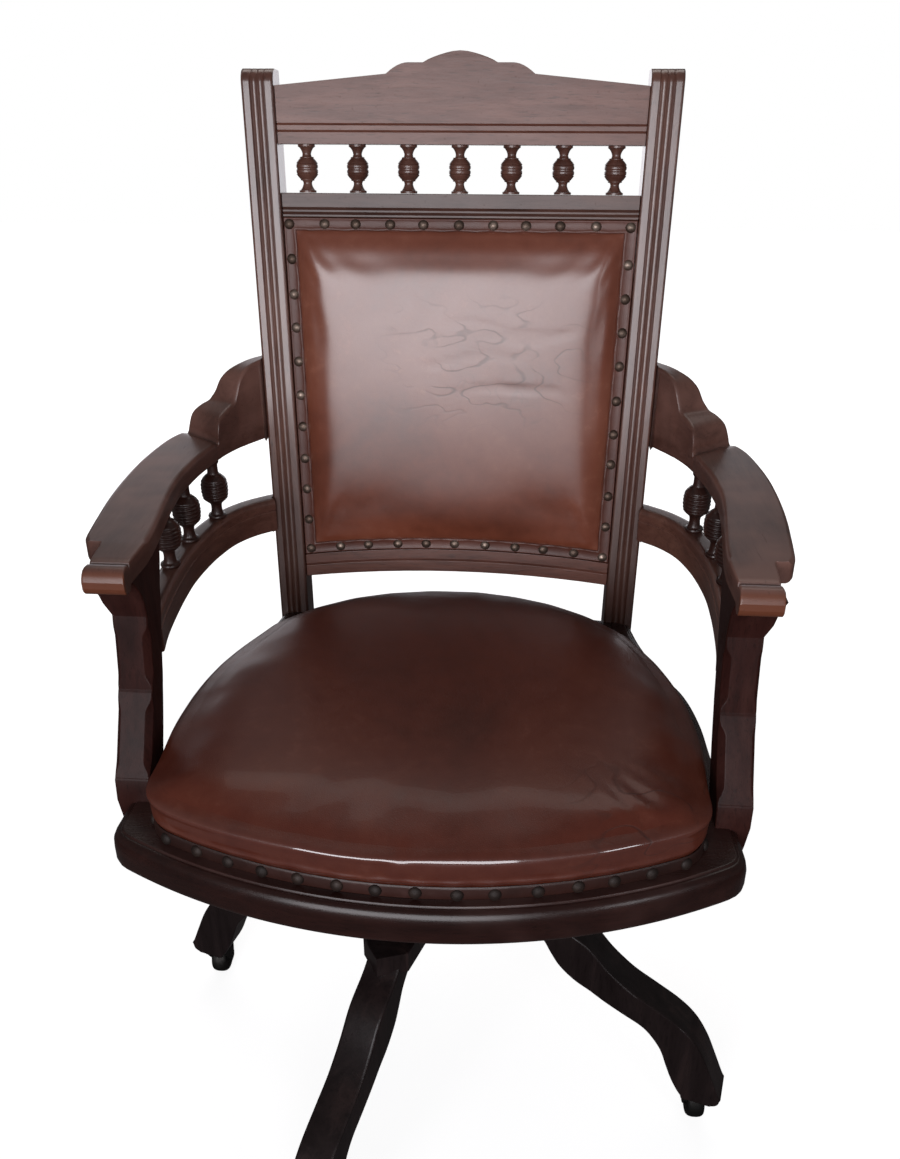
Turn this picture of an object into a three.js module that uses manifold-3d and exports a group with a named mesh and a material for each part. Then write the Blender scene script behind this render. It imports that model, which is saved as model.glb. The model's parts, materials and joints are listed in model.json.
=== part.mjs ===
// A wooden swivel and tilt armchair of about 1900, with a turned and nailed back, a bowed seat
// on an iron screw, and a four-legged base on castors.
// Millimetres. +Z is up, the sitter faces -Y, and the origin is on the floor under the screw.

import * as THREE from "three";
import { mergeVertices } from "three/addons/utils/BufferGeometryUtils.js";
import Module from "manifold-3d";

const wasm = await Module();
wasm.setup();

// Fits
const seatGap = 0.3; // between two pieces that touch
const turnGap = 0.4; // around a shaft that turns
const overrun = 4; // how far a cutter passes what it cuts
const turnedSides = 10; // facets of a small turned piece
const shaftSides = 16; // facets of a shaft or a bore

// Seat frame
const seatTop = 465;
const seatThickness = 39;
const seatHalfWidth = 295;
const seatFrontReach = 245;
const seatCornerReach = 166;
const seatCornerRadius = 16;
const seatBackReach = 284;
const seatRoundOver = 7;
const seatLowerRound = 3;
const seatOutlinePoints = 60;
const seatHoleShare = 0.76;
const seatRoundSteps = 3;
const seatRebateWidth = 9;
const seatBoardThickness = 7;
const seatSideShares = [
  [0.988, -0.35], [0.967, 0], [0.956, 0.2], [0.922, 0.38], [0.854, 0.54], [0.788, 0.75], [0.754, 0.92],
];

// Seat cushion and the leather strip nailed round its foot
const cushionHeight = 64;
const sideLedge = 41;
const frontLedge = 20;
const cornerLedge = 3;
const backLedge = 41;
const cushionHalfWidth = seatHalfWidth - sideLedge;
const cushionFrontReach = seatFrontReach - frontLedge;
const cushionCornerReach = seatCornerReach - cornerLedge;
const cushionCornerRadius = 24;
const cushionBackReach = seatBackReach - backLedge;
const cushionOutlinePoints = 48;
const cushionSideShares = [[1, -0.42], [0.995, -0.12], [0.965, 0.14], [0.9, 0.37], [0.786, 0.618]];
const cushionBulge = 9;
// Rings up the cushion's side: how many bulges out from the foot's line, and the share of the height.
const cushionBulgeShares = [[0.35, 0.24], [0.85, 0.34], [1, 0.48], [0.7, 0.62], [0, 0.74], [-1.3, 0.82]];
// Rings over the crown: the share of the way out from the middle, and the share of the height.
const cushionCrownShares = [[0.84, 0.875], [0.66, 0.925], [0.42, 0.97], [0.18, 0.995]];
const bandHeight = 13;
const bandThickness = 1.6;

// Back frame: it leans, so its own heights run along the posts from where they pass the seat
const backFrontY = 262;
const backDatumZ = 472;
const backLean = THREE.MathUtils.degToRad(7.32);
const postTop = 624;
const postFoot = 45;
const postWidth = 35.3;
const postDepth = 36;
const postInset = 71.6;
const postHalfSpread = seatHalfWidth - postInset;
const postSplay = 0.0234;
const reedWidth = 3.4;
const reedDepth = 1.8;
const reedSpacing = 7;
const postEdge = 2;
const railDepth = 24;
const railSetBack = 5;
const railEdge = 1.5;

const crestBottom = 548.5;
const crestEndTop = 607;
const crestShoulderTop = 618.5;
const crestLobeTop = 629.5;
const crestPeak = 641;
const crestShoulderX = 80;
const crestLobeX = 56;
const crestStepX = 40;
const crestCoveShare = 1.2;
const crestStepShare = 0.75;
const crestPeakShare = 0.4;
const lineWidth = 2.6;
const lineDepth = 1.6;
const crestLineHeights = [13, 20];

const midTop = 497.7;
const midShow = 472.4;
const midLineHeights = [4, 9];
const lowerEndBottom = 40.8;
const lowerArch = 12;
const lowerShow = 28.8;
const lowerLineHeight = 15;
const rebateWidth = 16;
const rebateDepth = 5;
const padEdgeThickness = 2.4;
const padCrown = 24;
const padGridInsets = [0, 14, 17, 22, 32, 52, 84];
const padGridMiddle = 3;
const backBandWidth = 12;
const panelThickness = 6;
const outsideLeather = 2;

// Turned spindles
const backSpindleCount = 7;
const backSpindlePitch = 57.1;
const backSpindleRadius = 11.5;
const backSpindleShares = [
  [0.8, 0], [0.8, 0.06], [0.5, 0.13], [0.42, 0.24], [0.78, 0.33], [1, 0.4], [0.9, 0.5], [1, 0.6],
  [0.78, 0.67], [0.42, 0.76], [0.5, 0.87], [0.8, 0.94], [0.8, 1],
];
const armSpindleRadius = 14;
const armSpindleShares = [
  [0.62, 0], [0.66, 0.06], [0.4, 0.13], [0.36, 0.24], [0.88, 0.34], [1, 0.4], [0.92, 0.46], [1, 0.52],
  [0.92, 0.58], [1, 0.64], [0.88, 0.7], [0.36, 0.82], [0.34, 0.92], [0.5, 0.97], [0.5, 1],
];

// Arms: a flat rest that turns in at the back and climbs to the post
const armTop = 710;
const armThickness = 22;
const armUnderside = armTop - armThickness;
const armRise = 74;
const armHalfSpread = 339.5;
const armBackSet = 44;
const armBackReach = backFrontY + armBackSet;
const armEdge = 6;
const armEdgeShare = 0.3;
const armNoseEdge = 3;
const armLipDrop = 5;
// Each row is one slice: inner x and y, outer x and y, and the share of the rise above the rest.
// x is a share of the half spread, y of the back reach.
const armStationShares = [
  [0.682, 0.957, 0.682, 1.049, 1], [0.707, 0.912, 0.736, 1, 1], [0.733, 0.866, 0.783, 0.948, 0.95],
  [0.754, 0.824, 0.82, 0.912, 0.79], [0.763, 0.804, 0.845, 0.902, 0.6], [0.772, 0.778, 0.874, 0.896, 0.47],
  [0.78, 0.752, 0.903, 0.886, 0.37], [0.787, 0.731, 0.93, 0.87, 0.22], [0.79, 0.716, 0.94, 0.852, 0.04],
  [0.796, 0.68, 0.953, 0.81, 0], [0.806, 0.62, 0.972, 0.73, 0], [0.818, 0.54, 0.988, 0.62, 0],
  [0.825, 0.45, 0.998, 0.5, 0], [0.828, 0.36, 1, 0.38, 0], [0.822, 0.26, 0.997, 0.26, 0],
  [0.812, 0.16, 0.99, 0.15, 0], [0.801, 0.07, 0.98, 0.05, 0], [0.79, -0.02, 0.969, -0.05, 0],
  [0.783, -0.09, 0.96, -0.115, 0], [0.781, -0.138, 0.945, -0.148, 0], [0.781, -0.163, 0.912, -0.165, 0],
];
const armLipShares = [
  [0.782, 0.9, -0.18, 0, 0], [0.784, 0.896, -0.25, -0.09, 0], [0.785, 0.894, -0.277, -0.25, 0],
  [0.785, 0.896, -0.285, -0.12, 1], [0.784, 0.903, -0.296, -0.22, 1], [0.784, 0.903, -0.31, -0.62, 0.8],
];

// Front arm posts
const armPostHousing = 25;
const armPostInner = seatHalfWidth - armPostHousing;
const armPostWidth = 34;
const armPostLean = 118;
// Down the post's front: its top, knee, step and foot, as shares of the lean and of the height.
const armPostLeanShares = [0.475, 0.602, 0.949, 1];
const armPostHeightShares = [0.802, 0.512, 0.221, 0.14];
const armPostDepth = 41;
const armPostBottom = 430;
const armPostFront = armPostLeanShares.map((share) => share * armPostLean);
const armPostFrontZ = armPostHeightShares.map((share) => {
  return armPostBottom + share * (armUnderside - armPostBottom);
});
const armPostFootRound = 12;
const capitalReach = 82;
const capitalCurveShare = 0.4;
const capitalFlare = 9;
const chamferSize = 7;
const chamferRun = 12;
const chamferInset = 12;

// Curved rails under the arms, and the turned pieces on them
const sideRailDrop = 72;
const sideRailTop = armUnderside - sideRailDrop;
const sideRailHeight = 42;
const sideRailWidth = 24;
const sideRailEdge = 3;
const sideRailShares = [
  [0.762, 0.926], [0.85, 0.855], [0.916, 0.765], [0.957, 0.65], [0.98, 0.535], [0.993, 0.41],
  [0.993, 0.29], [0.987, 0.17], [0.974, 0.03], [0.953, -0.09],
];
const sideRailInset = 42.5;
const sideRailHalfSpread = armHalfSpread - sideRailInset;
const armSpindleAlongShares = [0.255, 0.456, 0.647];
const sideRailStations = 16;

// Base
const legReach = 340;
const legHeight = 322;
const legWidth = 38;
// The cross of the legs isn't quite square: each leg's bearing from +X, in degrees.
const legBearings = { front_right: -15.8, back_right: 69, back_left: 164.2, front_left: -110.4 };
const legTopShares = [
  [0.235, 0.96], [0.35, 0.88], [0.43, 0.79], [0.521, 0.72], [0.588, 0.627], [0.638, 0.569],
  [0.682, 0.528], [0.744, 0.485], [0.826, 0.425], [0.882, 0.362], [0.926, 0.272], [0.959, 0.172],
  [0.988, 0.078], [1, 0.045],
];
const legToeShares = [[0.994, 0.015], [0.974, 0]];
const legHeelShare = 0.876;
const legUnderShares = [
  [0.856, 0.037], [0.832, 0.097], [0.81, 0.17], [0.788, 0.246], [0.753, 0.313], [0.715, 0.358],
  [0.653, 0.397], [0.591, 0.437], [0.538, 0.478], [0.485, 0.515], [0.435, 0.571], [0.403, 0.634],
  [0.376, 0.694], [0.329, 0.746], [0.259, 0.78],
];
const legRootUnderShare = 0.791;
const shoulderWidth = 52;
const shoulderReach = 130;
const shoulderNose = 20;
const shoulderTop = 293;
const shoulderBottom = 267;
const tenonWidth = 14;
const tenonDepth = 24;
const tenonShares = [0.83, 0.96];
const hubRadius = 51;
const hubBottom = 232;
const hubTop = 338;
const hubShares = [[0.3, 0], [0.62, 0.02], [0.8, 0.14], [1, 0.26], [1, 0.93], [0.93, 1]];
const bushBore = 26.8;
const bushWall = 5.6;
const bushFlangeRadius = 34;
const bushFlange = 5;
const bushLengthShare = 0.9;

// Castors
const wheelRadius = 22;
const wheelWidth = 20;
const wheelCrown = 2.5;
const wheelFace = 17;
const wheelTreadShare = 0.33;
const castorTrail = 14;
const castorInset = 25.5;
const castorReach = legReach - castorInset;
const axleRadius = 3;
const forkGap = 0.5;
const forkThickness = 3;
const forkEye = 8;
const forkHalfWidth = 11;
const forkSegments = 4;
const crownThickness = 4;
const crownClear = 2.7;
const cupRadius = 16;
const cupThickness = 3;
const cupStemRadius = 6;
const cupStemLength = 24;
const pintleRadius = 3;
const pintleLength = 14;

// Height screw and its hand wheel
const screwRadius = 13;
const screwBottom = 186;
const screwBevel = 2.6;
const screwFlangeRadius = 20;
const screwFlange = 6;
const screwFlangeZ = 366;
const swivelRadius = 11;
const swivelCapRadius = 17;
const swivelCap = 6;
const keyWidth = 6;
const keyDepth = 3;
const handWheelRadius = 62;
const handWheelRim = 5;
const handWheelHub = 24;
const handWheelHeight = 19;
const handWheelSpokes = 4;
const handWheelRimSides = 6;
const handWheelRimSteps = 24;
const spokeSides = 6;
const spokeRadius = 4.5;

// Tilting iron
const yokeBottom = 372.3;
const yokePlateTop = 390;
const yokePlateThickness = 10;
const yokeHalfWidth = 38;
const yokeBossRadius = 24;
const yokeBack = 30;
const cheekThickness = 10;
const tiltPinY = -30;
const tiltPinZ = 412;
const tiltPinRadius = 6;
const tiltPinHead = 7.3;
const tiltPinHeadThickness = 4;
const tiltEarHalf = 17;
const tiltEarRise = 10;
const lugDrop = 12;
const armPlateBottom = 396;
const armPlateThickness = 8;
const armPlateFront = 130;
const stopRadius = 7;
const stopX = 25;
const barThickness = 6;
const barWidth = 30;
const lugThickness = 8;
const barFront = 226;
const barBack = 258;
const tieWidth = 30;
const springY = -105;
const springRadius = 15;
const springWire = 4.4;
const springTurns = 5;
const springStepsPerTurn = 8;
const springSamplesPerStep = 4;
const springSides = 5;
const springLength = 50;
const boltRadius = 4;
const boltHeadRadius = 4.5;
const boltHeadLength = 30;
const boltTail = 24;
const boltSlot = 7;
const washerRadius = 19;
const washerThickness = 3;
const knobRadius = 17;
const knobHeight = 13;
const knobLobes = 6;
const knobLobeDepth = 2.5;

// Materials
const walnut = new THREE.MeshStandardMaterial({ color: 0x3b1f14, roughness: 0.42, metalness: 0 });
const darkWood = new THREE.MeshStandardMaterial({ color: 0x24130d, roughness: 0.5, metalness: 0 });
const hideBrown = new THREE.MeshStandardMaterial({ color: 0x4a1c12, roughness: 0.3, metalness: 0 });
const hideTan = new THREE.MeshStandardMaterial({ color: 0x7a3a24, roughness: 0.3, metalness: 0 });
const iron = new THREE.MeshStandardMaterial({ color: 0x2b2826, roughness: 0.55, metalness: 0.9 });
const brass = new THREE.MeshStandardMaterial({ color: 0x6b5433, roughness: 0.45, metalness: 0.9 });

const chair = new THREE.Group();

// Turns an outline drawn in X and Y into one in Y and Z, with its thickness along X.
const sideways = new THREE.Matrix4().makeBasis(
  new THREE.Vector3(0, 1, 0), new THREE.Vector3(0, 0, 1), new THREE.Vector3(1, 0, 0),
);

// Geometry helpers

function signedVolume(geometry) {
  const p = geometry.attributes.position;
  const order = geometry.index.array;
  const [a, b, c] = [new THREE.Vector3(), new THREE.Vector3(), new THREE.Vector3()];
  let volume = 0;
  for (let i = 0; i < order.length; i += 3) {
    a.fromBufferAttribute(p, order[i]);
    b.fromBufferAttribute(p, order[i + 1]);
    c.fromBufferAttribute(p, order[i + 2]);
    volume += a.dot(b.cross(c));
  }
  return volume;
}

// Merges shared corners and turns every face outwards.
function closed(geometry) {
  const bare = new THREE.BufferGeometry();
  bare.setAttribute("position", geometry.attributes.position.clone());
  if (geometry.index) bare.setIndex(geometry.index.clone());
  const merged = mergeVertices(bare);
  if (signedVolume(merged) < 0) {
    const order = merged.index.array;
    for (let i = 0; i < order.length; i += 3) {
      [order[i], order[i + 1]] = [order[i + 1], order[i]];
    }
  }
  merged.computeVertexNormals();
  return merged;
}

function solidOf(geometry) {
  const whole = closed(geometry);
  return new wasm.Manifold(new wasm.Mesh({
    numProp: 3,
    vertProperties: Float32Array.from(whole.attributes.position.array),
    triVerts: Uint32Array.from(whole.index.array),
  }));
}

function geometryOf(solid) {
  const mesh = solid.getMesh();
  const geometry = new THREE.BufferGeometry();
  geometry.setAttribute("position", new THREE.BufferAttribute(Float32Array.from(mesh.vertProperties), 3));
  geometry.setIndex(new THREE.BufferAttribute(Uint32Array.from(mesh.triVerts), 1));
  geometry.computeVertexNormals();
  return geometry;
}

function joined(first, ...others) {
  return geometryOf(others.reduce((whole, piece) => whole.add(solidOf(piece)), solidOf(first)));
}

function cut(body, ...cutters) {
  return geometryOf(cutters.reduce((whole, cutter) => whole.subtract(solidOf(cutter)), solidOf(body)));
}

function mirrored(geometry) {
  return closed(geometry.clone().applyMatrix4(new THREE.Matrix4().makeScale(-1, 1, 1)));
}

// A box between two corners.
function block(x0, x1, y0, y1, z0, z1) {
  const box = new THREE.BoxGeometry(x1 - x0, y1 - y0, z1 - z0);
  return box.translate((x0 + x1) / 2, (y0 + y1) / 2, (z0 + z1) / 2);
}

// An upright cylinder.
function rod(radius, z0, z1, sides = shaftSides) {
  const cylinder = new THREE.CylinderGeometry(radius, radius, z1 - z0, sides);
  return cylinder.rotateX(Math.PI / 2).translate(0, 0, (z0 + z1) / 2);
}

// The cutter for an upright round hole: its flats, not its corners, lie at the named radius.
function bore(radius, z0, z1) {
  return rod(radius / Math.cos(Math.PI / shaftSides), z0, z1);
}

// A cylinder lying along X.
function barAlongX(radius, x0, x1, y, z, sides = shaftSides) {
  const cylinder = new THREE.CylinderGeometry(radius, radius, x1 - x0, sides);
  return cylinder.rotateZ(Math.PI / 2).translate((x0 + x1) / 2, y, z);
}

// The cutter for a round hole along X.
function boreAlongX(radius, x0, x1, y, z) {
  return barAlongX(radius / Math.cos(Math.PI / shaftSides), x0, x1, y, z);
}

// A turned piece about Z, from [radius, height] points that start and end on the axis.
function turned(points, sides) {
  const profile = points.map(([radius, z]) => new THREE.Vector2(radius, z));
  return new THREE.LatheGeometry(profile, sides).rotateX(Math.PI / 2);
}

// A turned post between two heights, from a table of radius and height shares.
function spindleGeometry(shares, radius, z0, z1) {
  const points = shares.map(([r, h]) => [r * radius, z0 + h * (z1 - z0)]);
  return turned([[0, z0], ...points, [0, z1]], turnedSides);
}

// A skin through rings of points, closed at both ends by a fan about the ring's middle.
function loft(rings) {
  const count = rings[0].length;
  const positions = rings.flat().flatMap((point) => [point.x, point.y, point.z]);
  const index = [];
  const ringPair = (start) => {
    for (let i = 0; i < count; i++) {
      const here = start + i;
      const next = start + ((i + 1) % count);
      index.push(here, next, next + count, here, next + count, here + count);
    }
  };
  const fan = (ring, start, turn) => {
    const middle = new THREE.Vector3();
    ring.forEach((point) => middle.add(point));
    middle.divideScalar(count);
    const hub = positions.length / 3;
    positions.push(middle.x, middle.y, middle.z);
    for (let i = 0; i < count; i++) {
      const pair = [start + i, start + ((i + 1) % count)];
      index.push(hub, ...(turn ? pair.reverse() : pair));
    }
  };
  rings.slice(1).forEach((ring, k) => ringPair(k * count));
  fan(rings[0], 0, true);
  fan(rings[rings.length - 1], (rings.length - 1) * count, false);
  const geometry = new THREE.BufferGeometry();
  geometry.setAttribute("position", new THREE.Float32BufferAttribute(positions, 3));
  geometry.setIndex(index);
  return closed(geometry);
}

// An outline in X and height, given a thickness along Y.
function plate(shape, y0, y1, curveSegments = 4) {
  const slab = new THREE.ExtrudeGeometry(shape, { depth: y1 - y0, bevelEnabled: false, curveSegments });
  return closed(slab.rotateX(Math.PI / 2).translate(0, y1, 0));
}

function shapeOf(points) {
  return new THREE.Shape(points.map(([x, y]) => new THREE.Vector2(x, y)));
}

function addPiece(group, name, geometry, material) {
  const mesh = new THREE.Mesh(closed(geometry), material);
  mesh.name = name;
  group.add(mesh);
  return mesh;
}

// Outlines

// Half of a bowed seat outline from the front middle to the back middle, spaced evenly, with its
// mirror image added. The front is one arc, each front corner is rounded, and the side is a spline.
function bowedOutline({ halfWidth, front, corner, cornerRadius, back, sideShares, count }) {
  const sagitta = front - corner;
  const bow = (halfWidth ** 2 + sagitta ** 2) / (2 * sagitta);
  const cornerAngle = Math.asin((halfWidth - cornerRadius) / bow);
  const half = new THREE.CurvePath();
  const arc = new THREE.ArcCurve(0, bow - front, bow, -Math.PI / 2, cornerAngle - Math.PI / 2);
  const arcEnd = arc.getPoint(1);
  const sides = sideShares.map(([x, y]) => new THREE.Vector2(x * halfWidth, y * (y < 0 ? front : back)));
  const sideStart = new THREE.Vector2(halfWidth, cornerRadius - corner);
  half.add(arc);
  half.add(new THREE.QuadraticBezierCurve(arcEnd, new THREE.Vector2(halfWidth, -corner), sideStart));
  const last = sides[sides.length - 1];
  half.add(new THREE.SplineCurve([sideStart, ...sides]));
  half.add(new THREE.QuadraticBezierCurve(last, new THREE.Vector2(last.x * last.y / back, back),
    new THREE.Vector2(0, back)));
  const points = half.getSpacedPoints(count / 2);
  const right = points.map((point) => new THREE.Vector2(point.x, point.y));
  right[0].x = 0;
  right[right.length - 1].x = 0;
  const left = right.slice(1, -1).reverse().map((point) => new THREE.Vector2(-point.x, point.y));
  return [...right, ...left];
}

// Moves each point of a closed outline inwards by a distance.
function inset(outline, distance) {
  const count = outline.length;
  return outline.map((point, i) => {
    const along = outline[(i + 1) % count].clone().sub(outline[(i + count - 1) % count]).normalize();
    return new THREE.Vector2(point.x - along.y * distance, point.y + along.x * distance);
  });
}

function shrunk(outline, share) {
  return outline.map((point) => point.clone().multiplyScalar(share));
}

function ringAt(outline, z) {
  return outline.map((point) => new THREE.Vector3(point.x, point.y, z));
}

function prism(outline, z0, z1) {
  return loft([ringAt(outline, z0), ringAt(outline, z1)]);
}

const seatOutline = bowedOutline({
  halfWidth: seatHalfWidth, front: seatFrontReach, corner: seatCornerReach, cornerRadius: seatCornerRadius,
  back: seatBackReach, sideShares: seatSideShares, count: seatOutlinePoints,
});
const cushionOutline = bowedOutline({
  halfWidth: cushionHalfWidth, front: cushionFrontReach, corner: cushionCornerReach,
  cornerRadius: cushionCornerRadius, back: cushionBackReach, sideShares: cushionSideShares,
  count: cushionOutlinePoints,
});

// Places on the leaning back frame

const backFrame = new THREE.Group();
backFrame.position.set(0, backFrontY, backDatumZ);
backFrame.rotation.x = -backLean;
backFrame.updateMatrixWorld();
chair.add(backFrame);

function postOuterAt(height) {
  return postHalfSpread + postSplay * height;
}

function postInnerAt(height) {
  return postOuterAt(height) - postWidth;
}

// The height along the posts of a world height at the posts' front face.
function alongPosts(z) {
  return (z - backDatumZ) / Math.cos(backLean);
}

function postFrontY(z) {
  return backFrontY + (z - backDatumZ) * Math.tan(backLean);
}

// Back posts

// The post's section: a rectangle with eased edges and three reeds cut down its front.
function postSection(grow) {
  const half = postWidth / 2 + grow;
  const shape = [[-half, postDepth + grow], [half, postDepth + grow], [half, postEdge - grow]];
  if (grow > 0) return shapeOf([...shape, [half, -grow], [-half, -grow]]);
  shape.push([half - postEdge, 0]);
  for (let k = 1; k >= -1; k--) {
    const middle = k * reedSpacing;
    shape.push([middle + reedWidth / 2, 0], [middle, reedDepth], [middle - reedWidth / 2, 0]);
  }
  return shapeOf([...shape, [postEdge - half, 0], [-half, postEdge]]);
}

// A right-hand post in the back frame's space; growth gives the cutter for its housing.
function backPost(grow) {
  const length = postTop + postFoot;
  const bar = new THREE.ExtrudeGeometry(postSection(grow), { depth: length + 2 * grow, bevelEnabled: false });
  bar.translate(0, 0, -postFoot - grow);
  bar.applyMatrix4(new THREE.Matrix4().makeRotationY(Math.atan(postSplay)));
  return closed(bar.translate(postHalfSpread - postWidth / 2, 0, 0));
}

// Seat frame

function seatBodyRings() {
  const bottom = seatTop - seatThickness;
  const round = seatRoundOver;
  const steps = [[seatLowerRound, 0], [0, seatLowerRound]];
  const rings = steps.map(([inward, up]) => ringAt(inset(seatOutline, inward), bottom + up));
  for (let k = 0; k <= seatRoundSteps; k++) {
    const angle = (k / seatRoundSteps) * (Math.PI / 2);
    const inward = round * (1 - Math.cos(angle));
    rings.push(ringAt(inset(seatOutline, inward), seatTop - round + round * Math.sin(angle)));
  }
  return rings;
}

function armPostNotch() {
  const [, , , foot] = armPostFront;
  return block(armPostInner - seatGap, seatHalfWidth + overrun, -foot - seatGap,
    armPostDepth - foot + seatGap, seatTop - seatThickness - overrun, seatTop + overrun);
}

function seatFrame() {
  const bottom = seatTop - seatThickness;
  const hole = shrunk(seatOutline, seatHoleShare);
  const rebate = inset(hole, -seatRebateWidth);
  const housing = backPost(seatGap).applyMatrix4(backFrame.matrixWorld);
  const notch = armPostNotch();
  return cut(loft(seatBodyRings()),
    prism(hole, bottom - overrun, seatTop + overrun),
    prism(rebate, seatTop - seatBoardThickness - seatGap, seatTop + overrun),
    housing, mirrored(housing), notch, mirrored(notch));
}

function seatBoard() {
  const rebate = inset(shrunk(seatOutline, seatHoleShare), -seatRebateWidth);
  return prism(inset(rebate, seatGap), seatTop - seatBoardThickness, seatTop);
}

// The cushion: an upright foot behind the nailed strip, a bulging side and a crown.
function seatCushion() {
  const z0 = seatTop + seatGap;
  const foot = ringAt(cushionOutline, z0);
  const strip = ringAt(cushionOutline, z0 + bandHeight);
  const sides = cushionBulgeShares.map(([out, up]) =>
    ringAt(inset(cushionOutline, -out * cushionBulge), z0 + up * cushionHeight));
  const crown = cushionCrownShares.map(([share, up]) =>
    ringAt(shrunk(cushionOutline, share), z0 + up * cushionHeight));
  return loft([foot, strip, ...sides, ...crown]);
}

function seatBand() {
  const z0 = seatTop + seatGap;
  const inner = inset(cushionOutline, -seatGap);
  const outer = inset(inner, -bandThickness);
  return cut(prism(outer, z0, z0 + bandHeight), prism(inner, z0 - overrun, z0 + bandHeight + overrun));
}

// Back rails

// A V groove's cutter along a path of [x, height] points on a rail's front face.
function grooveAlong(points) {
  const rings = points.map(([x, height]) => [
    new THREE.Vector3(x, railSetBack - seatGap, height - lineWidth / 2),
    new THREE.Vector3(x, railSetBack + lineDepth, height),
    new THREE.Vector3(x, railSetBack - seatGap, height + lineWidth / 2),
  ]);
  return loft(rings);
}

function railEnd(height) {
  return postInnerAt(height) - seatGap;
}

function crestOutline() {
  const stepIn = crestStepX * crestStepShare;
  const peakIn = crestStepX * crestPeakShare;
  const cove = crestLobeX * crestCoveShare;
  const end = railEnd(crestBottom);
  const topEnd = railEnd(crestEndTop);
  const shape = new THREE.Shape();
  shape.moveTo(-end, crestBottom);
  shape.lineTo(end, crestBottom);
  shape.lineTo(topEnd, crestEndTop);
  shape.lineTo(crestShoulderX, crestShoulderTop);
  shape.quadraticCurveTo(cove, crestLobeTop, crestLobeX, crestLobeTop);
  shape.lineTo(crestStepX, crestLobeTop);
  shape.bezierCurveTo(stepIn, crestPeak, peakIn, crestPeak, 0, crestPeak);
  shape.bezierCurveTo(-peakIn, crestPeak, -stepIn, crestPeak, -crestStepX, crestLobeTop);
  shape.lineTo(-crestLobeX, crestLobeTop);
  shape.quadraticCurveTo(-cove, crestLobeTop, -crestShoulderX, crestShoulderTop);
  shape.lineTo(-topEnd, crestEndTop);
  return shape;
}

function crestRail() {
  const body = plate(crestOutline(), railSetBack, railSetBack + railDepth, 6);
  const reach = postHalfSpread;
  const lines = crestLineHeights.map((up) =>
    grooveAlong([[-reach, crestBottom + up], [reach, crestBottom + up]]));
  return cut(body, ...lines);
}

function midRail() {
  const bottom = midShow - rebateWidth;
  const outline = shapeOf([
    [-railEnd(bottom), bottom], [railEnd(bottom), bottom],
    [railEnd(midTop), midTop], [-railEnd(midTop), midTop],
  ]);
  const reach = postHalfSpread;
  const rebate = block(-reach, reach, railSetBack - overrun, railSetBack + rebateDepth,
    bottom - overrun, midShow);
  const lines = midLineHeights.map((up) => grooveAlong([[-reach, midShow + up], [reach, midShow + up]]));
  return cut(plate(outline, railSetBack, railSetBack + railDepth), rebate, ...lines);
}

// The lower rail's arch: the rise above its ends at any x.
function archAt(x) {
  return lowerArch * (1 - (x / railEnd(lowerEndBottom)) ** 2);
}

const archSteps = 12;

function archLine(lift, reach) {
  return Array.from({ length: archSteps + 1 }, (_, k) => {
    const x = reach * (2 * k / archSteps - 1);
    return [x, lowerEndBottom + lift + archAt(x)];
  });
}

const lowerTop = lowerEndBottom + lowerShow + lowerArch + rebateWidth;

function lowerRail() {
  const end = railEnd(lowerEndBottom);
  const topEnd = railEnd(lowerTop);
  const outline = shapeOf([...archLine(0, end), [topEnd, lowerTop], [-topEnd, lowerTop]]);
  const reach = end + overrun;
  const rebateOutline = shapeOf([...archLine(lowerShow, reach), [reach, lowerTop + overrun],
    [-reach, lowerTop + overrun]]);
  const rebate = plate(rebateOutline, railSetBack - overrun, railSetBack + rebateDepth);
  return cut(plate(outline, railSetBack, railSetBack + railDepth), rebate,
    grooveAlong(archLine(lowerLineHeight, reach)));
}

// Leather back: a pad on a thin board, a nailed strip round it and a plain outside leather

// The strip of back frame between the posts and rails, from a grid of x and height shares.
function padPoint(u, v, edge) {
  const low = lowerEndBottom + lowerShow + seatGap + edge;
  const high = midShow - seatGap - edge;
  const middle = low + v * (high - low);
  const half = railEnd(middle) - edge;
  const x = half * (2 * u - 1);
  const height = low + archAt(x) + v * (high - low - archAt(x));
  return [x, height];
}

function gridShares(size) {
  const edges = padGridInsets.map((inward) => inward / size);
  const middle = Array.from({ length: padGridMiddle }, (_, k) => {
    const first = edges[edges.length - 1];
    return first + (1 - 2 * first) * (k + 1) / (padGridMiddle + 1);
  });
  return [...edges, ...middle, ...edges.map((share) => 1 - share).reverse()];
}

// How far the pad stands out at a distance from its edge: flat under the strip, then a crown.
function padRise(distance) {
  const [, flat, , , , , broad] = padGridInsets;
  const share = THREE.MathUtils.clamp((distance - flat) / (broad - flat), 0, 1);
  return Math.sqrt(share * (2 - share));
}

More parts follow.
